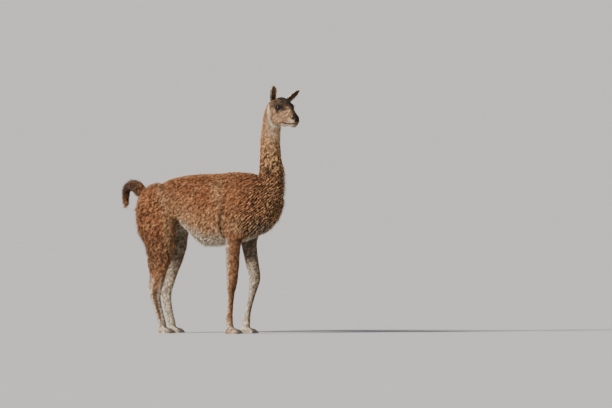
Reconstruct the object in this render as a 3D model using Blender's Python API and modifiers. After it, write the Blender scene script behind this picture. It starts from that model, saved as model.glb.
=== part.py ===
"""A life-size guanaco, standing still with its head turned to the right.

Metres, +Z up, +X towards the chest, +Y to the animal's left. The body is modelled on the floor,
with x = 0 halfway along the back, and is moved at the end so that the middle of its box is the origin.
"""

import math

import bmesh
import bpy
import numpy as np
from mathutils import Matrix, Vector
from mathutils.bvhtree import BVHTree

SEED = 5
GAP = 0.0003
TO_ORIGIN = Vector((-0.0560, 0.0, 0.0))
FLOOR_DIP = 0.004

# Voxel sizes and triangle budgets of the flesh under the coat.
BODY_VOXEL = 0.008
HEAD_VOXEL = 0.003
BODY_TRIANGLES = 2600
WOOL_TRIANGLES = 9100
HEAD_TRIANGLES = 1750

# Outline at the tips of the coat: x, top, bottom, height of the widest line, half width.
TRUNK = (
    (-0.475, 0.918, 0.860, 0.890, 0.040),
    (-0.455, 0.948, 0.825, 0.885, 0.095),
    (-0.420, 0.966, 0.805, 0.880, 0.130),
    (-0.340, 1.012, 0.800, 0.880, 0.158),
    (-0.240, 1.057, 0.812, 0.880, 0.170),
    (-0.180, 1.071, 0.772, 0.875, 0.176),
    (-0.120, 1.081, 0.702, 0.860, 0.184),
    (-0.040, 1.090, 0.630, 0.845, 0.193),
    (0.040, 1.091, 0.607, 0.830, 0.198),
    (0.140, 1.094, 0.607, 0.820, 0.195),
    (0.220, 1.103, 0.616, 0.820, 0.184),
    (0.300, 1.099, 0.633, 0.830, 0.170),
    (0.380, 1.086, 0.662, 0.850, 0.153),
    (0.445, 1.058, 0.694, 0.870, 0.136),
    (0.500, 1.016, 0.744, 0.890, 0.112),
    (0.538, 0.966, 0.808, 0.900, 0.078),
    (0.560, 0.928, 0.872, 0.905, 0.033),
)

# Neck: height, x, y, half depth, half width.
NECK = (
    (0.840, 0.425, 0.000, 0.095, 0.085),
    (0.940, 0.460, 0.000, 0.104, 0.093),
    (1.020, 0.476, 0.000, 0.098, 0.085),
    (1.100, 0.484, 0.000, 0.085, 0.077),
    (1.180, 0.479, 0.000, 0.076, 0.069),
    (1.300, 0.476, 0.000, 0.070, 0.063),
    (1.400, 0.484, 0.000, 0.067, 0.060),
    (1.470, 0.494, -0.005, 0.065, 0.058),
    (1.530, 0.508, -0.012, 0.060, 0.055),
    (1.565, 0.521, -0.018, 0.053, 0.050),
    (1.587, 0.533, -0.023, 0.036, 0.038),
)

# Forelegs: height, x of the right leg, x of the left leg, distance from the midline, half depth, half width.
FORELEG = (
    (0.880, 0.310, 0.310, 0.092, 0.080, 0.045),
    (0.780, 0.295, 0.298, 0.103, 0.084, 0.055),
    (0.690, 0.268, 0.282, 0.108, 0.072, 0.050),
    (0.610, 0.248, 0.281, 0.107, 0.056, 0.043),
    (0.530, 0.243, 0.294, 0.105, 0.050, 0.039),
    (0.460, 0.242, 0.308, 0.104, 0.047, 0.036),
    (0.410, 0.239, 0.320, 0.103, 0.043, 0.034),
    (0.360, 0.237, 0.323, 0.102, 0.039, 0.034),
    (0.315, 0.233, 0.315, 0.101, 0.032, 0.030),
    (0.270, 0.229, 0.307, 0.100, 0.024, 0.024),
    (0.205, 0.225, 0.291, 0.100, 0.020, 0.021),
    (0.140, 0.220, 0.275, 0.100, 0.020, 0.021),
    (0.100, 0.215, 0.266, 0.100, 0.026, 0.025),
    (0.070, 0.217, 0.264, 0.100, 0.025, 0.026),
    (0.045, 0.225, 0.266, 0.100, 0.023, 0.025),
    (0.020, 0.231, 0.268, 0.100, 0.020, 0.024),
)

# Hind legs: height, x of the right leg, x of the left leg, distance from the midline, half depth, half width.
HINDLEG = (
    (0.960, -0.330, -0.330, 0.085, 0.090, 0.055),
    (0.880, -0.333, -0.333, 0.100, 0.124, 0.073),
    (0.800, -0.316, -0.316, 0.110, 0.144, 0.078),
    (0.700, -0.304, -0.304, 0.112, 0.139, 0.075),
    (0.610, -0.289, -0.289, 0.110, 0.111, 0.066),
    (0.530, -0.291, -0.291, 0.107, 0.090, 0.055),
    (0.470, -0.299, -0.299, 0.105, 0.077, 0.047),
    (0.420, -0.306, -0.306, 0.103, 0.065, 0.040),
    (0.365, -0.315, -0.317, 0.101, 0.056, 0.035),
    (0.320, -0.325, -0.328, 0.100, 0.052, 0.032),
    (0.280, -0.331, -0.334, 0.100, 0.045, 0.030),
    (0.230, -0.324, -0.327, 0.099, 0.036, 0.027),
    (0.170, -0.308, -0.314, 0.098, 0.031, 0.024),
    (0.120, -0.293, -0.302, 0.098, 0.029, 0.024),
    (0.085, -0.282, -0.292, 0.098, 0.029, 0.025),
    (0.055, -0.273, -0.284, 0.098, 0.025, 0.026),
    (0.020, -0.264, -0.275, 0.098, 0.021, 0.024),
)

# Tail: x, height, half thickness, half width, from its root up, over and down to the tip.
TAIL = (
    (-0.405, 0.918, 0.046, 0.045),
    (-0.450, 0.954, 0.044, 0.044),
    (-0.492, 0.991, 0.042, 0.042),
    (-0.532, 1.008, 0.038, 0.040),
    (-0.570, 0.993, 0.032, 0.036),
    (-0.586, 0.950, 0.027, 0.031),
    (-0.588, 0.905, 0.022, 0.024),
    (-0.590, 0.876, 0.010, 0.011),
)

# Muscles and joints that swell out of the lofts: centre, radii, roll about Y in degrees.
SWELLS = (
    ((0.270, 0.100, 0.860), (0.125, 0.070, 0.180), -12),
    ((0.262, 0.105, 0.700), (0.070, 0.052, 0.090), 0),
    ((-0.300, 0.085, 0.890), (0.150, 0.078, 0.140), 10),
    ((-0.212, 0.108, 0.755), (0.045, 0.046, 0.100), 8),
    ((-0.363, 0.100, 0.312), (0.020, 0.016, 0.028), 0),
)

# The head's own axes: F forward along the muzzle, S to its left and U up, from midway between the eyes.
HEAD_CENTRE = Vector((0.596, -0.0455, 1.5315))
HEAD_TURN = math.radians(-33)
HEAD = (
    (-0.116, 0.030, -0.050, -0.008, 0.036),
    (-0.092, 0.058, -0.080, -0.010, 0.052),
    (-0.055, 0.074, -0.112, -0.010, 0.060),
    (-0.015, 0.073, -0.126, -0.006, 0.065),
    (0.020, 0.052, -0.126, -0.010, 0.062),
    (0.050, 0.022, -0.125, -0.030, 0.050),
    (0.077, -0.005, -0.127, -0.055, 0.041),
    (0.100, -0.025, -0.132, -0.072, 0.036),
    (0.121, -0.045, -0.129, -0.082, 0.032),
    (0.135, -0.062, -0.114, -0.087, 0.024),
    (0.142, -0.074, -0.098, -0.087, 0.013),
)
HEAD_SWELLS = (
    ((0.000, 0.044, 0.014), (0.046, 0.019, 0.022), 20),
    ((-0.026, 0.036, -0.068), (0.056, 0.023, 0.044), 0),
    ((0.110, 0.015, -0.082), (0.027, 0.018, 0.025), 30),
    ((0.096, 0.000, -0.118), (0.033, 0.025, 0.016), 8),
    ((-0.068, 0.036, 0.026), (0.026, 0.020, 0.028), 0),
)

EYE_RADIUS = 0.0195
EYE = Vector((0.006, 0.0485, 0.000))
EYE_LOOK = Vector((0.34, 0.93, 0.05)).normalized()
EYE_OPENING = (0.0172, 0.0118)
EYE_TILT = math.radians(14)
LID_RADIUS = 0.0238

# Nostrils: where the sight line meets the nose, the way it comes from, and the slot's half sizes.
NOSTRIL = Vector((0.129, 0.014, -0.073))
NOSTRIL_WAY = Vector((0.55, 0.80, 0.20)).normalized()
NOSTRIL_SIZE = (0.0105, 0.0034, 0.0080)

# Mouth line: F and U of the corner, the middle of the lips' side and the front.
MOUTH = ((0.042, -0.101), (0.080, -0.109), (0.118, -0.111), (0.150, -0.110))
MOUTH_DEPTH = 0.006
MOUTH_HEIGHT = 0.0026

# Ears in the head's axes: root, tip, and the way that the cup opens.
EARS = {
    "right": (Vector((-0.072, -0.043, 0.028)), Vector((-0.054, -0.060, 0.160)), Vector((0.80, -0.60, 0.00))),
    "left": (Vector((-0.064, 0.042, 0.028)), Vector((-0.012, 0.126, 0.129)), Vector((0.85, 0.10, -0.50))),
}
# Along the ear: half width, half of the angle that the cup wraps, how far the back stands off the middle.
EAR = (
    (0.00, 0.0160, 118, 0.0160),
    (0.14, 0.0175, 104, 0.0155),
    (0.35, 0.0225, 78, 0.0125),
    (0.60, 0.0225, 58, 0.0085),
    (0.82, 0.0150, 46, 0.0050),
    (0.94, 0.0080, 38, 0.0030),
    (1.00, 0.0026, 30, 0.0015),
)
EAR_THICKNESS = 0.0036
EAR_CUT = 0.040

# Toes from the middle of the foot: forward, top, bottom, half width.
TOE = (
    (-0.042, 0.030, -0.001, 0.009),
    (-0.030, 0.042, -FLOOR_DIP, 0.015),
    (-0.005, 0.046, -FLOOR_DIP, 0.0175),
    (0.020, 0.038, -FLOOR_DIP, 0.0175),
    (0.042, 0.029, -FLOOR_DIP, 0.0155),
    (0.056, 0.018, 0.000, 0.009),
)
TOE_SPREAD = 0.0175
TOE_SPLAY = math.radians(7)
NAIL = (
    (0.026, 0.030, 0.016, 0.0060),
    (0.042, 0.031, 0.007, 0.0095),
    (0.058, 0.024, 0.003, 0.0085),
    (0.069, 0.014, 0.002, 0.0050),
    (0.076, 0.006, 0.0025, 0.0015),
)

# Shallow forms of the face in the head's axes, on both sides: centre, radii, push outwards.
FACE = (
    ((0.014, 0.056, 0.023), (0.032, 0.022, 0.013), 0.0035),
    ((0.048, 0.040, -0.014), (0.024, 0.020, 0.018), -0.0030),
    ((-0.036, 0.058, 0.022), (0.024, 0.020, 0.026), -0.0025),
    ((0.046, 0.046, -0.078), (0.034, 0.022, 0.026), -0.0035),
    ((0.130, 0.022, -0.064), (0.018, 0.014, 0.013), 0.0030),
    ((0.122, 0.030, -0.096), (0.028, 0.018, 0.014), 0.0030),
    ((0.152, 0.000, -0.088), (0.014, 0.006, 0.022), -0.0030),
    ((0.112, 0.000, -0.130), (0.022, 0.026, 0.012), 0.0020),
)

# Wool: how far the core lies under the tips, and the locks' spacing, length, width and height by place.
WOOL_DEPTH = 0.011
LOCKS = {
    "back": (0.104, 0.0125),
    "haunch": (0.086, 0.0135),
    "chest": (0.082, 0.0140),
    "neck": (0.070, 0.0115),
    "belly": (0.090, 0.0130),
    "tail": (0.046, 0.0075),
}
LOCK_COUNT = 150
LOCK_LENGTH = 1.32
LOCK_WIDTH = 1.08
SAMPLES = 9000
SETTLING = 12

# Where the head leaves the neck: a point and the way to the neck, in the head's axes.
NAPE = (Vector((-0.082, 0.0, -0.040)), Vector((-0.970, 0.0, -0.243)))

# Where the sub-parts of the body meet: middle, size along the cut, size across, roll about Y in degrees.
CUTS = (
    ((0.262, -0.115, 0.598), 0.240, 0.140, 0),
    ((0.262, 0.115, 0.598), 0.240, 0.140, 0),
    ((-0.340, 0.000, 0.735), 0.370, 0.520, 0),
    ((0.275, 0.000, 0.332), 0.280, 0.520, 0),
    ((-0.330, 0.000, 0.338), 0.260, 0.520, 0),
    ((0.4975, 0.000, 1.040), 0.310, 0.400, 26),
    ((-0.461, 0.000, 0.974), 0.150, 0.200, -49.5),
)


def material(name, colour, roughness):
    """A plain finish for a sub-part."""
    made = bpy.data.materials.new(name)
    made.use_nodes = True
    shader = made.node_tree.nodes["Principled BSDF"]
    shader.inputs["Base Color"].default_value = (*colour, 1.0)
    shader.inputs["Roughness"].default_value = roughness
    made.diffuse_color = (*colour, 1.0)
    return made


def spline(rows, steps):
    """A smooth curve through rows of numbers, with that many steps between each pair."""
    rows = np.array(rows, float)
    padded = np.vstack([2 * rows[0] - rows[1], rows, 2 * rows[-1] - rows[-2]])
    out = []
    for i in range(len(rows) - 1):
        a, b, c, d = padded[i : i + 4]
        for t in np.arange(steps) / steps:
            out.append(0.5 * (2 * b + (c - a) * t + (2 * a - 5 * b + 4 * c - d) * t**2 + (3 * b - a - 3 * c + d) * t**3))
    return np.array(out + [rows[-1]])


def object_of(name, points, faces):
    """A new object from points and faces, with its normals facing out."""
    mesh = bpy.data.meshes.new(name)
    mesh.from_pydata([tuple(p) for p in points], [], faces)
    form = bmesh.new()
    form.from_mesh(mesh)
    bmesh.ops.recalc_face_normals(form, faces=form.faces)
    form.to_mesh(mesh)
    form.free()
    made = bpy.data.objects.new(name, mesh)
    bpy.context.scene.collection.objects.link(made)
    return made


def loft(name, rings):
    """One closed skin over rings that each have the same number of points."""
    count, around = len(rings), len(rings[0])
    points = np.concatenate(rings)
    faces = [tuple(range(around)), tuple((count - 1) * around + i for i in range(around))]
    for i in range(count - 1):
        for j in range(around):
            k = (j + 1) % around
            faces.append((i * around + j, i * around + k, (i + 1) * around + k, (i + 1) * around + j))
    return object_of(name, points, faces)


def upright_ring(x, top, bottom, belt, half_width, around):
    """An egg-shaped section across the body: the upper and lower halves have their own heights."""
    angle = np.arange(around) * 2 * np.pi / around
    lift = np.where(np.sin(angle) > 0, top - belt, belt - bottom)
    return np.column_stack([np.full(around, x), half_width * np.cos(angle), belt + lift * np.sin(angle)])


def level_ring(height, x, y, half_depth, half_width, around):
    """An elliptical section parallel to the floor."""
    angle = np.arange(around) * 2 * np.pi / around
    return np.column_stack([x + half_depth * np.cos(angle), y + half_width * np.sin(angle), np.full(around, height)])


def across_rings(rows, around):
    """Elliptical sections square to a path in the XZ plane."""
    centres = np.array([(r[0], 0.0, r[1]) for r in rows])
    run = np.gradient(centres, axis=0)
    run /= np.linalg.norm(run, axis=1)[:, None]
    angle = np.arange(around) * 2 * np.pi / around
    rings = []
    for centre, way, row in zip(centres, run, rows):
        up = np.array([-way[2], 0.0, way[0]])
        rings.append(
            centre + np.outer(np.sin(angle) * row[2], up) + np.outer(np.cos(angle) * row[3], np.array([0.0, 1.0, 0.0]))
        )
    return rings


def swell(centre, radii, roll, side):
    """An ellipsoid muscle on one side of the midline."""
    form = bmesh.new()
    bmesh.ops.create_uvsphere(form, u_segments=20, v_segments=12, radius=1.0)
    turn = Matrix.Rotation(math.radians(roll), 4, "Y")
    place = Matrix.Translation((centre[0], side * centre[1], centre[2])) @ turn @ Matrix.Diagonal((*radii, 1.0))
    bmesh.ops.transform(form, matrix=place, verts=form.verts)
    mesh = bpy.data.meshes.new("swell")
    form.to_mesh(mesh)
    form.free()
    made = bpy.data.objects.new("swell", mesh)
    bpy.context.scene.collection.objects.link(made)
    return made


def head_matrix():
    """From the head's axes to the body's."""
    return Matrix.Translation(HEAD_CENTRE) @ Matrix.Rotation(HEAD_TURN, 4, "Z")


def place(obj, matrix):
    """Bakes a matrix into an object's mesh."""
    obj.data.transform(matrix)
    obj.data.update()
    return obj


def drop(obj):
    """Removes an object and its mesh."""
    mesh = obj.data
    bpy.data.objects.remove(obj)
    bpy.data.meshes.remove(mesh)


def evaluated(obj, name):
    """A new plain mesh object from an object with its modifiers on, and the old one removed."""
    bpy.context.view_layer.update()
    graph = bpy.context.evaluated_depsgraph_get()
    mesh = bpy.data.meshes.new_from_object(obj.evaluated_get(graph))
    drop(obj)
    made = bpy.data.objects.new(name, mesh)
    bpy.context.scene.collection.objects.link(made)
    return made


def joined(objects, name):
    """The objects' meshes as one object."""
    form = bmesh.new()
    for obj in objects:
        form.from_mesh(obj.data)
        drop(obj)
    mesh = bpy.data.meshes.new(name)
    form.to_mesh(mesh)
    form.free()
    made = bpy.data.objects.new(name, mesh)
    bpy.context.scene.collection.objects.link(made)
    return made


def fused(objects, name, voxel):
    """Overlapping lofts melted into one skin of even faces."""
    whole = joined(objects, name)
    remesh = whole.modifiers.new("melt", "REMESH")
    remesh.mode = "VOXEL"
    remesh.voxel_size = voxel
    return evaluated(whole, name)


def eased(obj, rounds):
    """Smooths a mesh without shrinking it: each round moves points in, then out again."""
    mesh = obj.data
    count = len(mesh.vertices)
    points = np.empty(count * 3)
    mesh.vertices.foreach_get("co", points)
    points = points.reshape(-1, 3)
    ends = np.empty(len(mesh.edges) * 2, int)
    mesh.edges.foreach_get("vertices", ends)
    ends = ends.reshape(-1, 2)
    degree = np.bincount(ends.ravel(), minlength=count)[:, None]
    for _ in range(rounds):
        for pull in (0.55, -0.57):
            total = np.zeros_like(points)
            for axis in range(3):
                total[:, axis] = np.bincount(ends[:, 0], points[ends[:, 1], axis], count)
                total[:, axis] += np.bincount(ends[:, 1], points[ends[:, 0], axis], count)
            points = points + pull * (total / degree - points)
    mesh.vertices.foreach_set("co", points.ravel())
    mesh.update()
    return obj


def thinned(obj, triangles):
    """Fewer faces, kept where the form bends."""
    form = bmesh.new()
    form.from_mesh(obj.data)
    bmesh.ops.triangulate(form, faces=form.faces)
    form.to_mesh(obj.data)
    form.free()
    decimate = obj.modifiers.new("thin", "DECIMATE")
    decimate.ratio = triangles / len(obj.data.polygons)
    return evaluated(obj, obj.name)


def sliced(obj, point, normal):
    """Cuts away what lies past a plane, on the side that its normal points to, and closes the cut."""
    form = bmesh.new()
    form.from_mesh(obj.data)
    everything = form.verts[:] + form.edges[:] + form.faces[:]
    cut = bmesh.ops.bisect_plane(form, geom=everything, plane_co=point, plane_no=normal, clear_outer=True)
    edges = [e for e in cut["geom_cut"] if isinstance(e, bmesh.types.BMEdge)]
    bmesh.ops.holes_fill(form, edges=edges)
    bmesh.ops.triangulate(form, faces=form.faces)
    bmesh.ops.recalc_face_normals(form, faces=form.faces)
    form.to_mesh(obj.data)
    form.free()
    return obj


def bounds(obj):
    """Lowest and highest corner of an object's points, and their mean."""
    points = np.empty(len(obj.data.vertices) * 3)
    obj.data.vertices.foreach_get("co", points)
    points = points.reshape(-1, 3)
    return points.min(0), points.max(0), points.mean(0)


def volume(obj):
    """The volume inside a closed mesh."""
    form = bmesh.new()
    form.from_mesh(obj.data)
    amount = form.calc_volume()
    form.free()
    return amount


def cut_or_added(base, others, operation):
    """One Boolean of the base with every other object; the others are then removed."""
    group = bpy.data.collections.new("others")
    bpy.context.scene.collection.children.link(group)
    for other in others:
        group.objects.link(other)
        bpy.context.scene.collection.objects.unlink(other)
        other.hide_render = True
        other.display_type = "WIRE"
    change = base.modifiers.new("change", "BOOLEAN")
    change.operation = operation
    change.operand_type = "COLLECTION"
    change.collection = group
    change.solver = "MANIFOLD"
    made = evaluated(base, base.name)
    for other in others:
        drop(other)
    bpy.data.collections.remove(group)
    return made


def loose_pieces(obj):
    """The separate closed surfaces of a mesh as objects, largest first."""
    form = bmesh.new()
    form.from_mesh(obj.data)
    bmesh.ops.triangulate(form, faces=form.faces)
    form.verts.ensure_lookup_table()
    seen = set()
    pieces = []
    for start in form.verts:
        if start.index in seen:
            continue
        stack = [start]
        seen.add(start.index)
        members = []
        while stack:
            vert = stack.pop()
            members.append(vert)
            for edge in vert.link_edges:
                other = edge.other_vert(vert)
                if other.index not in seen:
                    seen.add(other.index)
                    stack.append(other)
        places = {vert.index: i for i, vert in enumerate(members)}
        faces = {face for vert in members for face in vert.link_faces}
        order = sorted(faces, key=lambda face: face.index)
        pieces.append(([vert.co.copy() for vert in members], [[places[v.index] for v in f.verts] for f in order]))
    form.free()
    made = []
    for points, faces in pieces:
        mesh = bpy.data.meshes.new("piece")
        mesh.from_pydata(points, [], faces)
        piece = bpy.data.objects.new("piece", mesh)
        bpy.context.scene.collection.objects.link(piece)
        made.append(piece)
    drop(obj)
    return sorted(made, key=volume, reverse=True)


def plate(middle, along, across, roll):
    """A sheet as thick as the gap between sub-parts."""
    form = bmesh.new()
    bmesh.ops.create_cube(form, size=1.0)
    turn = Matrix.Rotation(math.radians(roll), 4, "Y")
    size = Matrix.Diagonal((along, across, GAP, 1.0))
    bmesh.ops.transform(form, matrix=Matrix.Translation(middle) @ turn @ size, verts=form.verts)
    bmesh.ops.triangulate(form, faces=form.faces)
    mesh = bpy.data.meshes.new("plate")
    form.to_mesh(mesh)
    form.free()
    made = bpy.data.objects.new("plate", mesh)
    bpy.context.scene.collection.objects.link(made)
    return made


def ball(name, radius, matrix, around=14, rings=10):
    """A sphere whose poles lie on the matrix's Z axis."""
    form = bmesh.new()
    bmesh.ops.create_uvsphere(form, u_segments=around, v_segments=rings, radius=radius)
    bmesh.ops.triangulate(form, faces=form.faces)
    bmesh.ops.transform(form, matrix=matrix, verts=form.verts)
    mesh = bpy.data.meshes.new(name)
    form.to_mesh(mesh)
    form.free()
    made = bpy.data.objects.new(name, mesh)
    bpy.context.scene.collection.objects.link(made)
    return made


def copied(obj, name, grow=0.0):
    """A copy of an object, swollen along its normals."""
    mesh = obj.data.copy()
    if grow:
        ways = [v.normal.copy() for v in mesh.vertices]
        for vert, way in zip(mesh.vertices, ways):
            vert.co += way * grow
    made = bpy.data.objects.new(name, mesh)
    bpy.context.scene.collection.objects.link(made)
    return made


def trunk_lofts():
    """Trunk, neck and tail."""
    around = 28
    trunk = loft("trunk", [upright_ring(*row, around) for row in spline(TRUNK, 3)])
    neck = loft("neck", [level_ring(*row, 24) for row in spline(NECK, 3)])
    tail = loft("tail", across_rings(spline(TAIL, 3), 16))
    return [trunk, neck, tail]


def toe_frames(side, x):
    """The matrices of a foot's two toes: inner and outer."""
    frames = []
    for toe in (-1, 1):
        turn = Matrix.Rotation(toe * side * TOE_SPLAY, 4, "Z")
        frames.append(Matrix.Translation((x, side * 0.099 + toe * side * TOE_SPREAD, 0.0)) @ turn)
    return frames


def leg_rows(kind, side):
    """Rows of height, x, y, half depth and half width for one leg."""
    rows = FORELEG if kind == "fore" else HINDLEG
    column = 1 if side < 0 else 2
    return [(r[0], r[column], side * r[3], r[4], r[5]) for r in rows]


def leg_lofts(kind, side):
    """A leg down to its two toes."""
    rows = leg_rows(kind, side)
    pieces = [loft("leg", [level_ring(*row, 20) for row in spline(rows, 3)])]
    foot = rows[-1][1]
    for frame in toe_frames(side, foot):
        toe = loft("toe", [upright_ring(f, t, b, (t + b) / 2, w, 14) for f, t, b, w in spline(TOE, 2)])
        pieces.append(place(toe, frame))
    return pieces


def ramp(value, low, high):
    """0 below low, 1 above high and smooth between."""
    t = np.clip((value - low) / (high - low), 0, 1)
    return t * t * (3 - 2 * t)


def woolly(points, ways):
    """How much of the wool's full depth grows at each point: none on the face, lower legs and inner thighs."""
    x, y, z = points.T
    fore = 1 - (1 - ramp(z, 0.63, 0.72)) * ramp(x, 0.12, 0.16) * ramp(-x, -0.42, -0.38) * ramp(abs(y), 0.03, 0.06)
    hind = 1 - (1 - ramp(z, 0.42, 0.50)) * ramp(-x, 0.10, 0.14)
    neck = 1 - ramp(z, 1.25, 1.37)
    tail = 1 - 0.5 * ramp(-x, 0.45, 0.50) * ramp(z, 0.86, 0.88)
    low = (1 - ramp(z, 0.72, 0.80)) * ramp(abs(y), 0.02, 0.05) * ramp(-ways[:, 1] * np.sign(y), 0.1, 0.4)
    return np.where(z < 0.40, 0.0, fore * hind * neck * tail * (1 - low))


def sunk(skin):
    """Lowers the skin under the wool by the depth of the core."""
    mesh = skin.data
    count = len(mesh.vertices)
    points = np.empty(count * 3)
    ways = np.empty(count * 3)
    mesh.vertices.foreach_get("co", points)
    mesh.vertices.foreach_get("normal", ways)
    points, ways = points.reshape(-1, 3), ways.reshape(-1, 3)
    points = points - ways * (WOOL_DEPTH * woolly(points, ways))[:, None]
    mesh.vertices.foreach_set("co", points.ravel())
    mesh.update()
    return skin


def wool_place(point, way):
    """Which kind of lock grows at a point."""
    if point.x < -0.43 and point.z > 0.90:
        return "tail"
    if point.x > 0.34 and point.z > 1.06:
        return "neck"
    if point.x > 0.40:
        return "chest"
    if point.x < -0.16:
        return "haunch"
    return "belly" if way.z < -0.35 else "back"


def lie(point, way):
    """The way that the wool runs at a point, along the skin."""
    kind = wool_place(point, way)
    if kind == "tail":
        rows = np.array(TAIL)
        i = int(np.argmin((rows[:, 0] - point.x) ** 2 + (rows[:, 1] - point.z) ** 2))
        j = min(i + 1, len(rows) - 1)
        flow = Vector((rows[j, 0] - rows[j - 1, 0], 0, rows[j, 1] - rows[j - 1, 1]))
    elif kind == "neck":
        flow = Vector((-0.10, 0.0, -1.0))
    elif kind == "chest":
        flow = Vector((-0.35, 0.0, -1.0))
    else:
        top = max(0.0, way.z)
        flow = Vector((-0.55 - 0.35 * top, 0.45 * top * math.copysign(1, point.y), -0.85 * (1 - top)))
    flow = flow - way * flow.dot(way)
    return flow.normalized()


def lock(tree, point, way, length, width, height, bend):
    """A rounded lock that hugs the skin, with its root sunk in and its tip lying on the next one."""
    profile = ((-1.0, -0.003), (-0.50, 0.90), (0.50, 0.90), (1.0, -0.003), (0.0, -0.009))
    stations = ((-0.26, 0.74, 0.74), (0.06, 1.0, 1.0), (0.34, 0.70, 0.95))
    flow = lie(point, way)

    def on_skin(start, ahead, aside, lift):
        side = way.cross(flow)
        aim = start + flow * ahead * length + side * (aside + bend * ahead * ahead * length)
        found, normal = tree.find_nearest(aim)[:2]
        return found + normal * lift

    rings = []
    for ahead, wide, tall in stations:
        ring = []
        for across, rise in profile:
            lift = rise if rise < 0 else rise * height * tall
            ring.append(on_skin(point, ahead, across * width / 2 * wide, lift))
        rings.append(ring)
    ends = (on_skin(point, -0.48, 0.0, -0.008), on_skin(point, 0.50, 0.0, height * 0.25))
    points = [ends[0]] + [p for ring in rings for p in ring] + [ends[1]]
    around = len(profile)
    last = len(points) - 1
    faces = []
    for j in range(around):
        k = (j + 1) % around
        faces.append((0, 1 + k, 1 + j))
        faces.append((last, last - around + j, last - around + k))
        for i in range(len(stations) - 1):
            a, b = 1 + i * around + j, 1 + i * around + k
            faces += [(a, b, b + around), (a, b + around, a + around)]
    return object_of("lock", points, faces)


def lock_roots(skin, rng):
    """Points spread evenly over the wool, closer where the locks are smaller, with the skin's normal at each."""
    form = bmesh.new()
    form.from_mesh(skin.data)
    bmesh.ops.triangulate(form, faces=form.faces)
    faces = list(form.faces)
    areas = np.array([face.calc_area() for face in faces])
    corners = np.array([[tuple(vert.co) for vert in face.verts] for face in faces])
    ways = np.array([tuple(face.normal) for face in faces])
    form.free()
    picks = rng.choice(len(faces), SAMPLES, p=areas / areas.sum())
    split = rng.random((SAMPLES, 2))
    split = np.where(split.sum(1, keepdims=True) > 1, 1 - split, split)
    a, b, c = corners[picks].transpose(1, 0, 2)
    points = a + (b - a) * split[:, :1] + (c - a) * split[:, 1:]
    ways = ways[picks]
    kept = woolly(points, ways) > 0.45
    points, ways = points[kept], ways[kept]
    spacing = np.array([LOCKS[wool_place(Vector(p), Vector(w))][0] for p, w in zip(points, ways)])
    weight = 1 / spacing**2
    roots = rng.choice(len(points), LOCK_COUNT, replace=False, p=weight / weight.sum())
    centres, facing = points[roots], ways[roots]
    for _ in range(SETTLING):
        apart = ((points[:, None] - centres[None]) ** 2).sum(2)
        apart += 0.03 * (1 - ways @ facing.T)
        owner = apart.argmin(1)
        for i in range(LOCK_COUNT):
            mine = owner == i
            if mine.any():
                share = weight[mine][:, None]
                centres[i] = (points[mine] * share).sum(0) / share.sum()
                facing[i] = (ways[mine] * share).sum(0)
                facing[i] /= np.linalg.norm(facing[i]) + 1e-9
    return centres, facing


def locks(skin):
    """Rounded locks set close over the wool, each kind with its own size."""
    rng = np.random.default_rng(SEED)
    tree = BVHTree.FromObject(skin, bpy.context.evaluated_depsgraph_get())
    made = []
    for root, _ in zip(*lock_roots(skin, rng)):
        point, way = tree.find_nearest(Vector(root))[:2]
        spacing, height = LOCKS[wool_place(point, way)]
        depth = float(woolly(np.array([point]), np.array([way]))[0])
        height *= min(1.0, 0.35 + depth)
        jitter = rng.uniform(-1, 1, 3)
        size = spacing * (1 + 0.10 * jitter[0])
        length, width = LOCK_LENGTH * size, LOCK_WIDTH * spacing * (1 + 0.08 * jitter[1])
        made.append(lock(tree, point, way, length, width, height, 0.35 * jitter[2]))
    return made


def skull_lofts():
    """The head's lofts and swells, in the body's axes."""
    pieces = [loft("skull", [upright_ring(*row, 28) for row in spline(HEAD, 3)])]
    for side in (-1, 1):
        pieces += [swell(*row, side) for row in HEAD_SWELLS]
    return [place(piece, head_matrix()) for piece in pieces]


def nape():
    """The cut between head and neck in the body's axes: a point and the way to the neck."""
    return head_matrix() @ NAPE[0], (head_matrix().to_3x3() @ NAPE[1]).normalized()


def body():
    """Everything but the head, as one skin that ends at the floor and at the nape."""
    pieces = trunk_lofts() + skull_lofts()
    for side in (-1, 1):
        pieces += leg_lofts("fore", side) + leg_lofts("hind", side)
        pieces += [swell(*row, side) for row in SWELLS]
    skin = sunk(eased(fused(pieces, "body", BODY_VOXEL), 6))
    wool = locks(skin)
    skin = thinned(skin, BODY_TRIANGLES)
    skin = cut_or_added(skin, wool, "UNION")
    skin = thinned(skin, WOOL_TRIANGLES)
    point, way = nape()
    skin = sliced(skin, point + way * GAP / 2, -way)
    return sliced(skin, Vector((0, 0, 0)), Vector((0, 0, -1)))


def shaped_face(skin):
    """Pushes the shallow forms of the face in and out."""
    turn = head_matrix()
    back = turn.inverted()
    mesh = skin.data
    count = len(mesh.vertices)
    points = np.empty(count * 3)
    ways = np.empty(count * 3)
    mesh.vertices.foreach_get("co", points)
    mesh.vertices.foreach_get("normal", ways)
    points, ways = points.reshape(-1, 3), ways.reshape(-1, 3)
    local = points @ np.array(back.to_3x3()).T + np.array(back.translation)
    push = np.zeros(count)
    for centre, radii, amount in FACE:
        for side in (-1, 1) if centre[1] else (1,):
            apart = (local - np.array(centre) * (1, side, 1)) / np.array(radii)
            push += amount * np.clip(1 - (apart**2).sum(1), 0, None) ** 2
    points = points + ways * push[:, None]
    mesh.vertices.foreach_set("co", points.ravel())
    mesh.update()
    return skin


def eye_matrix(side):
    """From an eye's own axes, Z looking out and Y up, to the body's."""
    look = Vector((EYE_LOOK.x, side * EYE_LOOK.y, EYE_LOOK.z))
    level = Vector((0, 0, 1)).cross(look).normalized()
    turn = Matrix((level, look.cross(level), look)).transposed().to_4x4()
    centre = Vector((EYE.x, side * EYE.y, EYE.z))
    return head_matrix() @ Matrix.Translation(centre) @ turn @ Matrix.Rotation(EYE_TILT * side, 4, "Z")


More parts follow.
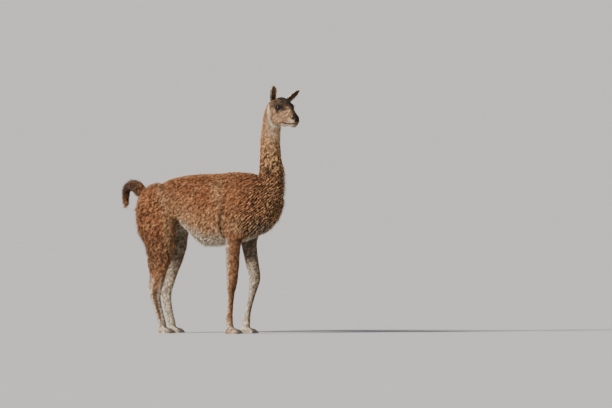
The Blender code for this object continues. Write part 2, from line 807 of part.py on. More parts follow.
def eye_opening(side):
    """A prism with the outline of the open lids, from the middle of the eye outwards."""
    angle = np.arange(20) * 2 * np.pi / 20
    x = EYE_OPENING[0] * np.cos(angle)
    y = EYE_OPENING[1] * np.sin(angle) * (1 - 0.25 * np.cos(angle) ** 2)
    rings = [np.column_stack([x * k, y * k, np.full(20, z)]) for k, z in ((0.75, 0.008), (1.0, 0.018), (1.35, 0.034))]
    return place(loft("opening", rings), eye_matrix(side))


def mouth_cut(skin):
    """A thin blade that follows the line of the mouth round the muzzle."""
    tree = BVHTree.FromObject(skin, bpy.context.evaluated_depsgraph_get())
    turn = head_matrix()
    line = spline(MOUTH, 6)
    rings = []
    stops = [(f, -1) for f in np.linspace(0.042, 0.112, 7)] + [(None, a) for a in np.linspace(-60, 60, 7)]
    stops += [(f, 1) for f in np.linspace(0.112, 0.042, 7)]
    for f, turned in stops:
        if f is None:
            way = Vector((math.cos(math.radians(turned)), math.sin(math.radians(turned)), 0))
            base = Vector((0.112, 0, 0))
        else:
            way = Vector((0, turned, 0))
            base = Vector((f, 0, 0))
        reach = base + way * 0.02
        base.z = float(np.interp(reach.x, line[:, 0], line[:, 1]))
        start = turn @ (base + way * 0.1)
        hit = tree.ray_cast(start, turn.to_3x3() @ -way)[0]
        surface = turn.inverted() @ hit
        fade = 1.0 if f is None else min(1.0, 0.35 + (f - 0.042) / 0.03)
        inner = surface - way * MOUTH_DEPTH * fade
        outer = surface + way * 0.012
        half = MOUTH_HEIGHT * fade
        rings.append([inner, outer + Vector((0, 0, half)), outer - Vector((0, 0, half))])
    return place(loft("mouth", [np.array([tuple(p) for p in ring]) for ring in rings]), turn)


def nostril_cut(skin, side):
    """A slanting slot for a nostril, where a line of sight meets the nose."""
    tree = BVHTree.FromObject(skin, bpy.context.evaluated_depsgraph_get())
    turn = head_matrix()
    way = Vector((NOSTRIL_WAY.x, side * NOSTRIL_WAY.y, NOSTRIL_WAY.z))
    aim = Vector((NOSTRIL.x, side * NOSTRIL.y, NOSTRIL.z))
    hit = tree.ray_cast(turn @ (aim + way * 0.1), turn.to_3x3() @ -way)[0]
    back = Vector((-0.62, side * 0.30, 0.72))
    back = (back - way * back.dot(way)).normalized()
    axes = Matrix((back, way.cross(back), way)).transposed().to_4x4()
    size = Matrix.Diagonal((*NOSTRIL_SIZE, 1.0))
    return ball("nostril", 1.0, Matrix.Translation(hit) @ turn.to_3x3().to_4x4() @ axes @ size, 12, 8)


def ear_axes(side):
    """Root, tip and the ways along, across and out of the cup, in the head's axes."""
    root, tip, opens = EARS[side]
    along = (tip - root).normalized()
    out = (opens - along * opens.dot(along)).normalized()
    return root, tip, along, along.cross(out), out


def ear(side):
    """A cupped leaf with its root in the head."""
    root, tip, along, across, out = ear_axes(side)
    length = (tip - root).length
    half = 4
    rows = spline(EAR, 2)
    front, back = [], []
    for t, width, wrap, stand in rows:
        turned = math.radians(wrap)
        radius = width / math.sin(min(turned, math.pi / 2))
        middle = root + along * length * t + out * (0.010 * t * t - stand)
        for j in range(-half, half + 1):
            turn = turned * j / half
            inward = -across * math.sin(turn) + out * math.cos(turn)
            point = middle + out * radius - inward * radius
            thick = EAR_THICKNESS * (1 - 0.5 * abs(j / half) ** 3) * (1 - 0.45 * t)
            back.append(point - inward * thick / 2)
            front.append(point + inward * thick / 2)
    steps, wide = len(rows) - 1, 2 * half + 1
    total = (steps + 1) * wide
    faces = []
    for i in range(steps):
        for j in range(wide - 1):
            a = i * wide + j
            faces.append((a, a + 1, a + wide + 1, a + wide))
            faces.append((total + a, total + a + wide, total + a + wide + 1, total + a + 1))
        for j in (0, wide - 1):
            a = i * wide + j
            faces.append((a, a + wide, total + a + wide, total + a))
    for i in (0, steps):
        for j in range(wide - 1):
            a = i * wide + j
            faces.append((a, a + 1, total + a + 1, total + a))
    made = object_of("ear", back + front, faces)
    form = bmesh.new()
    form.from_mesh(made.data)
    bmesh.ops.triangulate(form, faces=form.faces)
    form.to_mesh(made.data)
    form.free()
    return place(made, head_matrix())


def ear_root(side):
    """The solid base that fills the foot of an ear's cup and carries it on the head."""
    root, tip, along, across, out = ear_axes(side)
    turn = Matrix((out, across, along)).transposed().to_4x4()
    size = Matrix.Diagonal((0.0162, 0.0162, 0.024, 1.0))
    return ball("root", 1.0, head_matrix() @ Matrix.Translation(root) @ turn @ size, 16, 10)


def ear_plate(side):
    """The sheet that parts an ear from the head."""
    root, tip, along, across, out = ear_axes(side)
    turn = Matrix((out, across, along)).transposed().to_4x4()
    made = plate((0, 0, 0), 0.048, 0.048, 0)
    return place(made, head_matrix() @ Matrix.Translation(root + along * EAR_CUT) @ turn)


def head():
    """The head, its ears and its eyes, as named pieces."""
    pieces = skull_lofts()
    pieces.append(loft("neck", [level_ring(*row, 24) for row in spline(NECK, 3)]))
    skin = shaped_face(eased(fused(pieces, "head", HEAD_VOXEL), 30))
    point, way = nape()
    skin = sliced(skin, point + way * 0.03, way)
    skin = thinned(skin, HEAD_TRIANGLES)
    mouth = mouth_cut(skin)
    plain = copied(skin, "plain")
    added = [ear(side) for side in EARS] + [ear_root(side) for side in EARS]
    added += [ball("lids", LID_RADIUS, eye_matrix(side)) for side in (-1, 1)]
    skin = cut_or_added(skin, added, "UNION")
    skin = sliced(skin, point - way * GAP / 2, way)
    cutters = [mouth] + [ear_plate(side) for side in EARS]
    for side in (-1, 1):
        cutters += [ball("socket", EYE_RADIUS + GAP * 1.2, eye_matrix(side)), eye_opening(side), nostril_cut(plain, side)]
    skin = cut_or_added(skin, cutters, "DIFFERENCE")
    drop(plain)
    found = {}
    middles = {side: head_matrix() @ ((EARS[side][0] + EARS[side][1]) / 2) for side in EARS}
    for piece in loose_pieces(skin):
        middle = Vector(bounds(piece)[2])
        name = "head" if "head" not in found else None
        for side in EARS:
            if name is None and (middle - middles[side]).length < 0.05:
                name = "ear_" + side
        if name is None or name in found:
            drop(piece)
            continue
        found[name] = piece
    for side, label in ((-1, "right"), (1, "left")):
        found["eye_" + label] = ball("eye", EYE_RADIUS, eye_matrix(side))
    return found


def nails():
    """Two nails on each foot, by name."""
    found = {}
    for side, hand in ((-1, "right"), (1, "left")):
        for kind in ("fore", "hind"):
            foot = leg_rows(kind, side)[-1][1]
            for frame, toe in zip(toe_frames(side, foot), ("inner", "outer")):
                rings = [upright_ring(f, t, b, b + (t - b) * 0.4, w, 8) for f, t, b, w in NAIL]
                found[f"nail_{kind}_{hand}_{toe}"] = place(loft("nail", rings), frame)
    return found


def body_name(piece, found):
    """Which sub-part a piece of the body is, from where it lies."""
    low, high, mean = bounds(piece)
    middle = (low + high) / 2
    hand = "right" if middle[1] < 0 else "left"
    if middle[2] > 1.15:
        return "neck"
    if middle[0] < -0.47 and middle[2] > 0.82:
        return "tail"
    if middle[2] > 0.74:
        return "torso"
    kind = "foreleg" if middle[0] > 0 else "hindleg"
    part = "lower" if middle[2] < 0.335 else "upper"
    return f"{kind}_{part}_{hand}"


def finish(found):
    """Names, finishes, smooth shading and the place of the whole."""
    shell = bpy.data.collections.new("guanaco")
    bpy.context.scene.collection.children.link(shell)
    shift = Matrix.Translation(TO_ORIGIN)
    for name in sorted(found):
        obj = found[name]
        obj.name = name
        obj.data.name = name
        bpy.context.scene.collection.objects.unlink(obj)
        shell.objects.link(obj)
        place(obj, shift)
        obj.data.shade_smooth()
        obj.data.set_sharp_from_angle(angle=math.radians(55))
        colour, roughness = COLOURS[name.split("_")[0]]
        obj.data.materials.clear()
        obj.data.materials.append(material(name, colour, roughness))


COLOURS = {
    "head": ((0.19, 0.15, 0.12), 0.85),
    "neck": ((0.45, 0.27, 0.15), 0.90),
    "torso": ((0.42, 0.20, 0.10), 0.90),
    "tail": ((0.23, 0.11, 0.06), 0.90),
    "foreleg": ((0.40, 0.22, 0.12), 0.85),
    "hindleg": ((0.40, 0.22, 0.12), 0.85),
    "ear": ((0.14, 0.11, 0.09), 0.85),
    "eye": ((0.02, 0.015, 0.01), 0.10),
    "nail": ((0.05, 0.045, 0.04), 0.45),
}


def main():
    for obj in list(bpy.data.objects):
        bpy.data.objects.remove(obj)
    found = nails()
    skin = body()
    cutters = [plate(*row) for row in CUTS] + [copied(nail, "slot", GAP * 1.3) for nail in found.values()]
    skin = cut_or_added(skin, cutters, "DIFFERENCE")
    for piece in loose_pieces(skin):
        name = body_name(piece, found)
        if name in found:
            drop(piece)
        else:
            found[name] = piece
    found.update(head())
    finish(found)


main()
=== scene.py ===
# %% [markdown]
# # A guanaco, life size
# The model is a still guanaco on its four feet, with its head turned to its right. This file dresses a
# solid model of it: one skin, a coat of solid tufts, eyes, lid edges, lashes and nails. Everything is
# in metres, +Z is up, +X is towards the chest and +Y is the animal's left.

# %% Load the solid model
import math

import bmesh
import bpy
import numpy as np
from mathutils import Matrix, Vector
from mathutils.bvhtree import BVHTree
from mathutils.kdtree import KDTree


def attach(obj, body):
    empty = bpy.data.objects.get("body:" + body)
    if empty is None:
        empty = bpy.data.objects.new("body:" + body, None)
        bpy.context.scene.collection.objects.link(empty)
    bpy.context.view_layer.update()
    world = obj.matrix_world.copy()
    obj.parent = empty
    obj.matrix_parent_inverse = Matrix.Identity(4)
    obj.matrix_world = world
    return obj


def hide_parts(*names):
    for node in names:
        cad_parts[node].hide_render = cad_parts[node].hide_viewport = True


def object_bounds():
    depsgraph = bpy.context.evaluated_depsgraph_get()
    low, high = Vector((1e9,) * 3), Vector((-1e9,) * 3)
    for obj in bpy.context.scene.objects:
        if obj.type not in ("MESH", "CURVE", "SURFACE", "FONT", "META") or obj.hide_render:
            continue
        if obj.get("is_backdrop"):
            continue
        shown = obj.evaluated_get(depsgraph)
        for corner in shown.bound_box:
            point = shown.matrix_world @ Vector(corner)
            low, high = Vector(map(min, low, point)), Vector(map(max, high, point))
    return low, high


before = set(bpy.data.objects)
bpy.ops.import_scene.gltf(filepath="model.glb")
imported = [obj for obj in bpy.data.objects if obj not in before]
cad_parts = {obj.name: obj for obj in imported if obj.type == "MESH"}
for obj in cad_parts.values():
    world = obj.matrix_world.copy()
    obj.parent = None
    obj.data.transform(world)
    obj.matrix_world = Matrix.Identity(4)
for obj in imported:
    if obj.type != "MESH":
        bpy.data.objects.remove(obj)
solid_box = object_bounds()
print("solid parts:", len(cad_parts), "box:", [round(b - a, 3) for a, b in zip(*solid_box)])


# %% Helpers for objects and meshes
def added(name, data):
    made = bpy.data.objects.new(name, data)
    bpy.context.scene.collection.objects.link(made)
    return made


def placed(obj, slot, *nodes):
    """Puts a finished piece on the model's only body and hides the solid nodes that it replaces; slot
    is not used.
    """
    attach(obj, "root")
    if nodes:
        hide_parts(*nodes)
    return obj


def form_of(mesh):
    form = bmesh.new()
    form.from_mesh(mesh)
    return form


def written(form, mesh):
    """Ends a form by writing it to a mesh, or to a new one of that name."""
    mesh = bpy.data.meshes.new(mesh) if isinstance(mesh, str) else mesh
    form.to_mesh(mesh)
    form.free()
    return mesh


# %% [markdown]
# ## Nodes as sums
# A finish is a tree of nodes. It is easier to read as a sum, so a small class holds a socket and
# turns +, - and * into Math nodes. Every other node comes from one method, which takes the node's
# type, its settings and what goes into its sockets.

# %% Helpers for nodes
class Wire:
    """One value that runs between nodes."""

    def __init__(self, nodes, socket):
        self.nodes, self.socket = nodes, socket

    def math(self, operation, *values, clamp=False):
        settings = {"operation": operation, "use_clamp": clamp}
        return self.nodes.node("ShaderNodeMath", settings, dict(enumerate(values)))

    def __add__(self, other):
        return self.math("ADD", self, other)

    def __sub__(self, other):
        return self.math("SUBTRACT", self, other)

    def __rsub__(self, other):
        return self.math("SUBTRACT", other, self)

    def __mul__(self, other):
        return self.math("MULTIPLY", self, other)

    __radd__, __rmul__ = __add__, __mul__

    def wave(self):
        """From 0 to 1 and back, once in every unit."""
        return self.math("SINE", self * (2 * math.pi)) * 0.5 + 0.5

    def clip(self):
        return self.math("ADD", self, 0.0, clamp=True)

    def rise(self, low, high, kind="SMOOTHSTEP"):
        """0 below low and 1 above high."""
        sockets = {"Value": self, "From Min": low, "From Max": high}
        return self.nodes.node("ShaderNodeMapRange", {"interpolation_type": kind}, sockets)


class Nodes:
    """A tree that nodes are added to."""

    def __init__(self, tree):
        self.tree = tree

    def feed(self, socket, value):
        if isinstance(value, Wire):
            self.tree.links.new(value.socket, socket)
        elif isinstance(value, tuple) and socket.type == "RGBA":
            socket.default_value = (*value, 1.0)
        else:
            socket.default_value = value

    def node(self, kind, settings=None, sockets=None, output=0):
        made = self.tree.nodes.new(kind)
        for key, value in (settings or {}).items():
            setattr(made, key, value)
        for key, value in (sockets or {}).items():
            self.feed(made.inputs[key], value)
        return Wire(self, made.outputs[output]) if made.outputs else None

    def axis(self, vector, name):
        return self.node("ShaderNodeSeparateXYZ", None, {0: vector}, name)

    def mix(self, share, first, second):
        return self.node("ShaderNodeMix", {"data_type": "RGBA"}, {0: share, 6: first, 7: second}, 2)

    def arrow(self, operation, vector, key, value):
        return self.node("ShaderNodeVectorMath", {"operation": operation}, {0: vector, key: value})


class Finish(Nodes):
    """A material whose surface is one Principled shader."""

    def __init__(self, name, **plain):
        self.material = bpy.data.materials.new(name)
        self.material.use_nodes = True
        super().__init__(self.material.node_tree)
        self.surface(**plain)

    def surface(self, **sockets):
        for name, value in sockets.items():
            self.feed(self.tree.nodes["Principled BSDF"].inputs[name.replace("_", " ")], value)
        return self.material

    def attribute(self, name, output="Fac"):
        return self.node("ShaderNodeAttribute", {"attribute_name": name}, output=output)

    def place(self):
        return self.node("ShaderNodeTexCoord", output="Object")

    def noise(self, vector, scale, detail=3.0, rough=0.55):
        sockets = {"Vector": vector, "Scale": scale, "Detail": detail, "Roughness": rough}
        return self.node("ShaderNodeTexNoise", None, sockets)

    def stretched(self, vector, sizes):
        return self.arrow("MULTIPLY", vector, 1, sizes)

    def bright(self, colour, amount):
        return self.arrow("SCALE", colour, "Scale", amount)

    def bump(self, height, depth, strength):
        sockets = {"Height": height, "Distance": depth, "Strength": strength}
        return self.node("ShaderNodeBump", None, sockets)


# %% [markdown]
# ## Camera
# The animal was seen from far away with a long lens, from its right side and slightly from the front,
# and from about the height of its belly. A long lens flattens the depth, so a short one here would
# make the near legs too large. The lens is worked out from how much of the scene fits in the frame.

# %% Camera
BODY_TO_ROW = Vector((-0.0560, 0.0, 0.0))  # from the measurements' zero to the frame's
TO_ROW = Matrix.Translation(BODY_TO_ROW)
SIGHT_TURN = math.radians(20)
DISTANCE = 24.0
FRAME_WIDTH = 4.19
SENSOR = 36
AIM_AHEAD, AIM_HEIGHT, AIM_RISE = 0.69, 0.884, 0.30
right_hand = Vector((math.cos(SIGHT_TURN), math.sin(SIGHT_TURN), 0))
back_off = Vector((math.sin(SIGHT_TURN), -math.cos(SIGHT_TURN), 0))
aim = BODY_TO_ROW + right_hand * AIM_AHEAD + Vector((0, 0, AIM_HEIGHT))
lens = bpy.data.cameras.new("long lens")
lens.sensor_width = SENSOR
lens.lens = SENSOR * DISTANCE / FRAME_WIDTH
lens.clip_end = 400
camera = added("camera", lens)
camera.location = aim + back_off * DISTANCE - Vector((0, 0, AIM_RISE))
camera.rotation_euler = (aim - camera.location).to_track_quat("-Z", "Y").to_euler()
bpy.context.scene.camera = camera
print("lens:", round(lens.lens), "mm")

# %% [markdown]
# ## Light
# A museum piece stands in soft light. One broad lamp, about 30 degrees up on the left and on the
# viewer's side, gives the modelling of sunlight, and the pale surroundings keep the shadows open. Near
# the horizon they are as bright as the floor, so no line shows where the floor ends.

# %% Main lamp
lamp = bpy.data.lights.new("main lamp", "SUN")
lamp.energy, lamp.angle, lamp.color = 6.9, math.radians(11), (1.0, 0.94, 0.86)
lamp_way = right_hand * 0.78 - back_off * 0.40 - Vector((0, 0, 0.52))
added("main lamp", lamp).rotation_euler = lamp_way.to_track_quat("-Z", "Y").to_euler()

# %% Pale surroundings
HORIZON, OVERHEAD = (0.762, 0.738, 0.705), (0.215, 0.226, 0.240)
world = bpy.data.worlds.new("pale surroundings")
world.use_nodes = True
around = Nodes(world.node_tree)
height = around.axis(around.node("ShaderNodeTexCoord", output="Generated"), "Z")
fade = height.rise(0.08, 0.30, "LINEAR")
around.feed(world.node_tree.nodes["Background"].inputs["Color"], around.mix(fade, HORIZON, OVERHEAD))
bpy.context.scene.world = world

# %% [markdown]
# ## Floor
# The floor is one wide, flat, pale disc. It reaches far behind the animal and shows its shadow.

# %% Floor
FLOOR_RADIUS, FLOOR_GAP = 600, 0.0005
floor_finish = Finish("pale floor", Roughness=0.8)
speckle = floor_finish.noise(floor_finish.place(), 3.0)
floor_finish.surface(Base_Color=floor_finish.mix(speckle, (0.56, 0.565, 0.57), (0.60, 0.605, 0.61)))
form = bmesh.new()
bmesh.ops.create_circle(form, cap_ends=True, segments=96, radius=FLOOR_RADIUS)
floor = added("floor", written(form, "floor"))
floor.data.transform(Matrix.Translation((0, 0, solid_box[0].z - FLOOR_GAP)))
floor.data.materials.append(floor_finish.material)
floor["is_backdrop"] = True

# %% [markdown]
# ## Measurements
# The body is drawn as stations: at each one, an egg-shaped or round section has a place and a size.
# They are the same stations as in the solid model, and give the outline at the tips of the coat.

# %% Measurements of the body
def metres(*rows):
    """Rows in millimetres, as metres."""
    return [[value / 1000 for value in row] for row in rows]


# Trunk: x, top, bottom, height of the widest point, half width.
TRUNK = metres(
    (-475, 918, 860, 890, 40), (-455, 948, 825, 885, 95), (-420, 966, 805, 880, 130),
    (-340, 1012, 800, 880, 158), (-240, 1057, 812, 880, 170), (-180, 1071, 772, 875, 176),
    (-120, 1081, 702, 860, 184), (-40, 1090, 630, 845, 193), (40, 1091, 607, 830, 198),
    (140, 1094, 607, 820, 195), (220, 1103, 616, 820, 184), (300, 1099, 633, 830, 170),
    (380, 1086, 662, 850, 153), (445, 1058, 694, 870, 136), (500, 1016, 744, 890, 112),
    (538, 966, 808, 900, 78), (560, 928, 872, 905, 33),
)
# Neck: height, x, y, half depth, half width.
NECK = metres(
    (840, 425, 0, 95, 85), (940, 460, 0, 104, 93), (1020, 476, 0, 98, 85), (1100, 484, 0, 85, 77),
    (1180, 479, 0, 76, 69), (1300, 476, 0, 70, 63), (1400, 484, 0, 67, 60), (1470, 494, -5, 65, 58),
    (1530, 508, -12, 60, 55), (1565, 521, -18, 53, 50), (1587, 533, -23, 36, 38),
)
# Legs: height, x of the right leg, x of the left leg, distance from the middle, half depth, half width.
FORELEG = metres(
    (880, 310, 310, 92, 80, 45), (780, 295, 298, 103, 84, 55), (690, 268, 282, 108, 72, 50),
    (610, 248, 281, 107, 56, 43), (530, 243, 294, 105, 50, 39), (460, 242, 308, 104, 47, 36),
    (410, 239, 320, 103, 43, 34), (360, 237, 323, 102, 39, 34), (315, 233, 315, 101, 32, 30),
    (270, 229, 307, 100, 24, 24), (205, 225, 291, 100, 20, 21), (140, 220, 275, 100, 20, 21),
    (100, 215, 266, 100, 26, 25), (70, 217, 264, 100, 25, 26), (45, 225, 266, 100, 23, 25),
    (20, 231, 268, 100, 20, 24),
)
HINDLEG = metres(
    (960, -330, -330, 85, 90, 55), (880, -333, -333, 100, 124, 73), (800, -316, -316, 110, 144, 78),
    (700, -304, -304, 112, 139, 75), (610, -289, -289, 110, 111, 66),
    (530, -291, -291, 107, 90, 55), (470, -299, -299, 105, 77, 47), (420, -306, -306, 103, 65, 40),
    (365, -315, -317, 101, 56, 35), (320, -325, -328, 100, 52, 32), (280, -331, -334, 100, 45, 30),
    (230, -324, -327, 99, 36, 27), (170, -308, -314, 98, 31, 24), (120, -293, -302, 98, 29, 24),
    (85, -282, -292, 98, 29, 25), (55, -273, -284, 98, 25, 26), (20, -264, -275, 98, 21, 24),
)
# Tail: x, height, half depth, half width.
TAIL = metres(
    (-405, 918, 46, 45), (-450, 954, 44, 44), (-492, 991, 42, 42), (-532, 1008, 38, 40),
    (-570, 993, 32, 36), (-586, 950, 27, 31), (-588, 905, 22, 24), (-590, 876, 10, 11),
)
# Muscles: centre, half sizes, roll in degrees.
MUSCLES = (
    ((0.270, 0.100, 0.860), (0.125, 0.070, 0.180), -12),
    ((0.262, 0.105, 0.700), (0.070, 0.052, 0.090), 0),
    ((-0.300, 0.085, 0.890), (0.150, 0.078, 0.140), 10),
    ((-0.212, 0.108, 0.755), (0.045, 0.046, 0.100), 8),
    ((-0.363, 0.100, 0.312), (0.020, 0.016, 0.028), 0),
)
FOOT_HALF_GAP = 0.0175
TOE_SPLAY = math.radians(7)
# Toes and nails: distance ahead, top, bottom, half width.
TOE = metres(
    (-42, 30, -1, 9), (-30, 42, -4, 15), (-5, 46, -4, 17.5), (20, 38, -4, 17.5), (42, 29, -4, 15.5),
    (56, 18, 0, 9),
)
NAIL = metres(
    (26, 30, 16, 6), (42, 31, 7, 9.5), (58, 24, 3, 8.5), (69, 14, 2, 5), (76, 6, 2.5, 1.5),
)

# %% Measurements of the head, along its own forward, left and up
HEAD_PLACE = Matrix.Translation((0.596, -0.0455, 1.5315)) @ Matrix.Rotation(math.radians(-33), 4, "Z")
# Skull: as the trunk, but ahead along the head.
SKULL = metres(
    (-116, 30, -50, -8, 36), (-92, 58, -80, -10, 52), (-55, 74, -112, -10, 60),
    (-15, 73, -126, -6, 65), (20, 52, -126, -10, 62), (50, 22, -125, -30, 50),
    (77, -5, -127, -55, 41), (100, -25, -132, -72, 36), (121, -45, -129, -82, 32),
    (135, -62, -114, -87, 24), (142, -74, -98, -87, 13),
)
SKULL_MUSCLES = (
    ((0.000, 0.044, 0.014), (0.046, 0.019, 0.022), 20),
    ((-0.026, 0.036, -0.068), (0.056, 0.023, 0.044), 0),
    ((0.110, 0.015, -0.082), (0.027, 0.018, 0.025), 30),
    ((0.096, 0.000, -0.118), (0.033, 0.025, 0.016), 8),
    ((-0.068, 0.036, 0.026), (0.026, 0.020, 0.028), 0),
)
# Face: centre, half sizes, height of the swelling.
FACE = (
    ((0.014, 0.056, 0.023), (0.032, 0.022, 0.013), 0.0035),
    ((0.048, 0.040, -0.014), (0.024, 0.020, 0.018), -0.0030),
    ((-0.036, 0.058, 0.022), (0.024, 0.020, 0.026), -0.0025),
    ((0.046, 0.046, -0.078), (0.034, 0.022, 0.026), -0.0035),
    ((0.130, 0.022, -0.064), (0.018, 0.014, 0.013), 0.0030),
    ((0.122, 0.030, -0.096), (0.028, 0.018, 0.014), 0.0030),
    ((0.152, 0.000, -0.088), (0.014, 0.006, 0.022), -0.0030),
    ((0.112, 0.000, -0.130), (0.022, 0.026, 0.012), 0.0020),
)
EYE_RADIUS = 0.0195
EYE = Vector((0.006, 0.0485, 0.000))
EYE_LOOK = Vector((0.34, 0.93, 0.05)).normalized()
EYE_OPENING = (0.0172, 0.0118)
EYE_TILT = math.radians(14)
LID_RADIUS = 0.0217
NOSTRIL = Vector((0.129, 0.014, -0.073))
NOSTRIL_WAY = Vector((0.55, 0.80, 0.20)).normalized()
MOUTH = metres((42, -101), (80, -109), (118, -111), (150, -110))
# Ears: root, tip, and the way the cup opens.
EARS = {
    "right": ((-0.072, -0.043, 0.028), (-0.048, -0.053, 0.155), (0.80, -0.60, 0.00)),
    "left": ((-0.064, 0.042, 0.028), (-0.012, 0.126, 0.129), (0.85, 0.10, -0.50)),
}
# Ear: share of its length, half width, wrap in degrees, distance behind its middle line.
EAR = (
    (0.00, 0.0160, 118, 0.0160), (0.14, 0.0180, 104, 0.0155), (0.35, 0.0240, 78, 0.0125),
    (0.60, 0.0255, 58, 0.0085), (0.82, 0.0195, 46, 0.0050), (0.94, 0.0118, 38, 0.0030),
    (1.00, 0.0050, 30, 0.0015),
)
# Nape: a point where head and neck meet, and the way from the one to the other.
NAPE = (Vector((-0.082, 0.0, -0.040)), Vector((-0.970, 0.0, -0.243)))

# %% [markdown]
# ## From stations to skin
# A smooth curve runs through the stations, a ring of points is laid at each step, and faces join the
# rings. A voxel remesh then melts the overlapping shapes into one skin, as flesh has no seams.

# %% Sums on rows of numbers
def rise(value, low, high):
    """0 below low, 1 above high and smooth between."""
    t = np.clip((value - low) / (high - low), 0, 1)
    return t * t * (3 - 2 * t)


def blend(first, second, share):
    return first * (1 - share) + second * share


def unit(rows):
    return rows / (np.linalg.norm(rows, axis=-1, keepdims=True) + 1e-12)


def curve(rows, steps):
    """A smooth run of numbers through rows of them."""
    rows = np.array(rows, float)
    padded = np.vstack([2 * rows[0] - rows[1], rows, 2 * rows[-1] - rows[-2]])
    out = []
    for i in range(len(rows) - 1):
        a, b, c, d = padded[i : i + 4]
        for t in np.arange(steps) / steps:
            bend = (2 * a - 5 * b + 4 * c - d) * t**2 + (3 * b - a - 3 * c + d) * t**3
            out.append(0.5 * (2 * b + (c - a) * t + bend))
    return np.array(out + [rows[-1]])


def points_of(mesh, what="co"):
    out = np.empty(len(mesh.vertices) * 3)
    mesh.vertices.foreach_get(what, out)
    return out.reshape(-1, 3)


def set_points(mesh, points):
    mesh.vertices.foreach_set("co", points.ravel())
    mesh.update()


# %% Rings and shells
def turns(around):
    return np.arange(around) * 2 * np.pi / around


def upright_ring(x, top, bottom, belt, half_width, around=36):
    turn = turns(around)
    lift = np.where(np.sin(turn) > 0, top - belt, belt - bottom)
    return np.column_stack([np.full(around, x), half_width * np.cos(turn), belt + lift * np.sin(turn)])


def level_ring(height, x, y, half_depth, half_width, around=32):
    turn = turns(around)
    ring = [x + half_depth * np.cos(turn), y + half_width * np.sin(turn), np.full(around, height)]
    return np.column_stack(ring)


def tail_rings(rows, around=24):
    centres = np.array([(r[0], 0.0, r[1]) for r in rows])
    turn = turns(around)
    rings = []
    for centre, way, row in zip(centres, unit(np.gradient(centres, axis=0)), rows):
        up = np.array([-way[2], 0.0, way[0]])
        across = np.outer(np.cos(turn) * row[3], [0.0, 1.0, 0.0])
        rings.append(centre + np.outer(np.sin(turn) * row[2], up) + across)
    return rings


def facing_out(mesh):
    form = form_of(mesh)
    bmesh.ops.recalc_face_normals(form, faces=form.faces)
    written(form, mesh)


def built_shape(name, points, faces, matrix):
    mesh = bpy.data.meshes.new(name)
    mesh.from_pydata(np.asarray(points).tolist(), [], faces)
    mesh.transform(matrix)
    facing_out(mesh)
    return added(name, mesh)


def shell(name, rings, matrix=Matrix(), joined=False):
    """A closed shell over rings of the same number of points, capped or joined end to end."""
    count, around = len(rings), len(rings[0])
    last = (count - 1) * around
    faces = [] if joined else [tuple(range(around)), tuple(range(last, last + around))]
    for i in range(count if joined else count - 1):
        a, b = i * around, (i + 1) % count * around
        for j in range(around):
            k = (j + 1) % around
            faces.append((a + j, a + k, b + k, b + j))
    return built_shape(name, np.concatenate(rings), faces, matrix)


def ball(name, sizes, matrix, around=48, rings=32):
    form = bmesh.new()
    bmesh.ops.create_uvsphere(form, u_segments=around, v_segments=rings, radius=1.0)
    bmesh.ops.transform(form, matrix=matrix @ Matrix.Diagonal((*sizes, 1.0)), verts=form.verts)
    return added(name, written(form, name))


def muscle(centre, sizes, roll, side, matrix=Matrix()):
    turn = Matrix.Rotation(math.radians(roll), 4, "Y")
    place = Matrix.Translation((centre[0], side * centre[1], centre[2]))
    return ball("muscle", sizes, matrix @ place @ turn, 24, 16)


# %% Changes to whole meshes
def dropped(obj):
    mesh = obj.data
    bpy.data.objects.remove(obj)
    bpy.data.meshes.remove(mesh)


def applied(obj):
    """The object with its modifiers made part of its mesh."""
    bpy.context.view_layer.update()
    mesh = bpy.data.meshes.new_from_object(obj.evaluated_get(bpy.context.evaluated_depsgraph_get()))
    name = obj.name
    dropped(obj)
    return added(name, mesh)


def melted(pieces, name, voxel):
    form = bmesh.new()
    for piece in pieces:
        form.from_mesh(piece.data)
        dropped(piece)
    whole = added(name, written(form, name))
    change = whole.modifiers.new("melt", "REMESH")
    change.mode, change.voxel_size = "VOXEL", voxel
    return applied(whole)


def eased(obj, rounds):
    """Smooths without shrinking: each round moves points in, then out again."""
    mesh = obj.data
    points = points_of(mesh)
    ends = np.empty(len(mesh.edges) * 2, int)
    mesh.edges.foreach_get("vertices", ends)
    ends = ends.reshape(-1, 2)
    count = len(points)
    degree = np.bincount(ends.ravel(), minlength=count)[:, None]
    for _ in range(rounds):
        for pull in (0.55, -0.57):
            total = np.zeros_like(points)
            for axis in range(3):
                total[:, axis] = np.bincount(ends[:, 0], points[ends[:, 1], axis], count)
                total[:, axis] += np.bincount(ends[:, 1], points[ends[:, 0], axis], count)
            points = points + pull * (total / degree - points)
    set_points(mesh, points)
    return obj


def thinned(obj, triangles):
    form = form_of(obj.data)
    bmesh.ops.triangulate(form, faces=form.faces)
    written(form, obj.data)
    change = obj.modifiers.new("thin", "DECIMATE")
    change.ratio = min(1.0, triangles / len(obj.data.polygons))
    return applied(obj)


def trimmed(obj, point, way, closed):
    """Cuts away what lies past a plane, on the side that the way points to."""
    form = form_of(obj.data)
    parts = form.verts[:] + form.edges[:] + form.faces[:]
    cut = bmesh.ops.bisect_plane(form, geom=parts, plane_co=point, plane_no=way, clear_outer=True)
    if closed:
        edges = [e for e in cut["geom_cut"] if isinstance(e, bmesh.types.BMEdge)]
        bmesh.ops.holes_fill(form, edges=edges)
    bmesh.ops.triangulate(form, faces=form.faces)
    written(form, obj.data)
    return obj


def carved(base, others, operation):
    group = bpy.data.collections.new("others")
    bpy.context.scene.collection.children.link(group)
    for other in others:
        group.objects.link(other)
        bpy.context.scene.collection.objects.unlink(other)
    change = base.modifiers.new("carve", "BOOLEAN")
    change.operation, change.solver = operation, "MANIFOLD"
    change.operand_type, change.collection = "COLLECTION", group
    made = applied(base)
    for other in others:
        dropped(other)
    bpy.data.collections.remove(group)
    return made


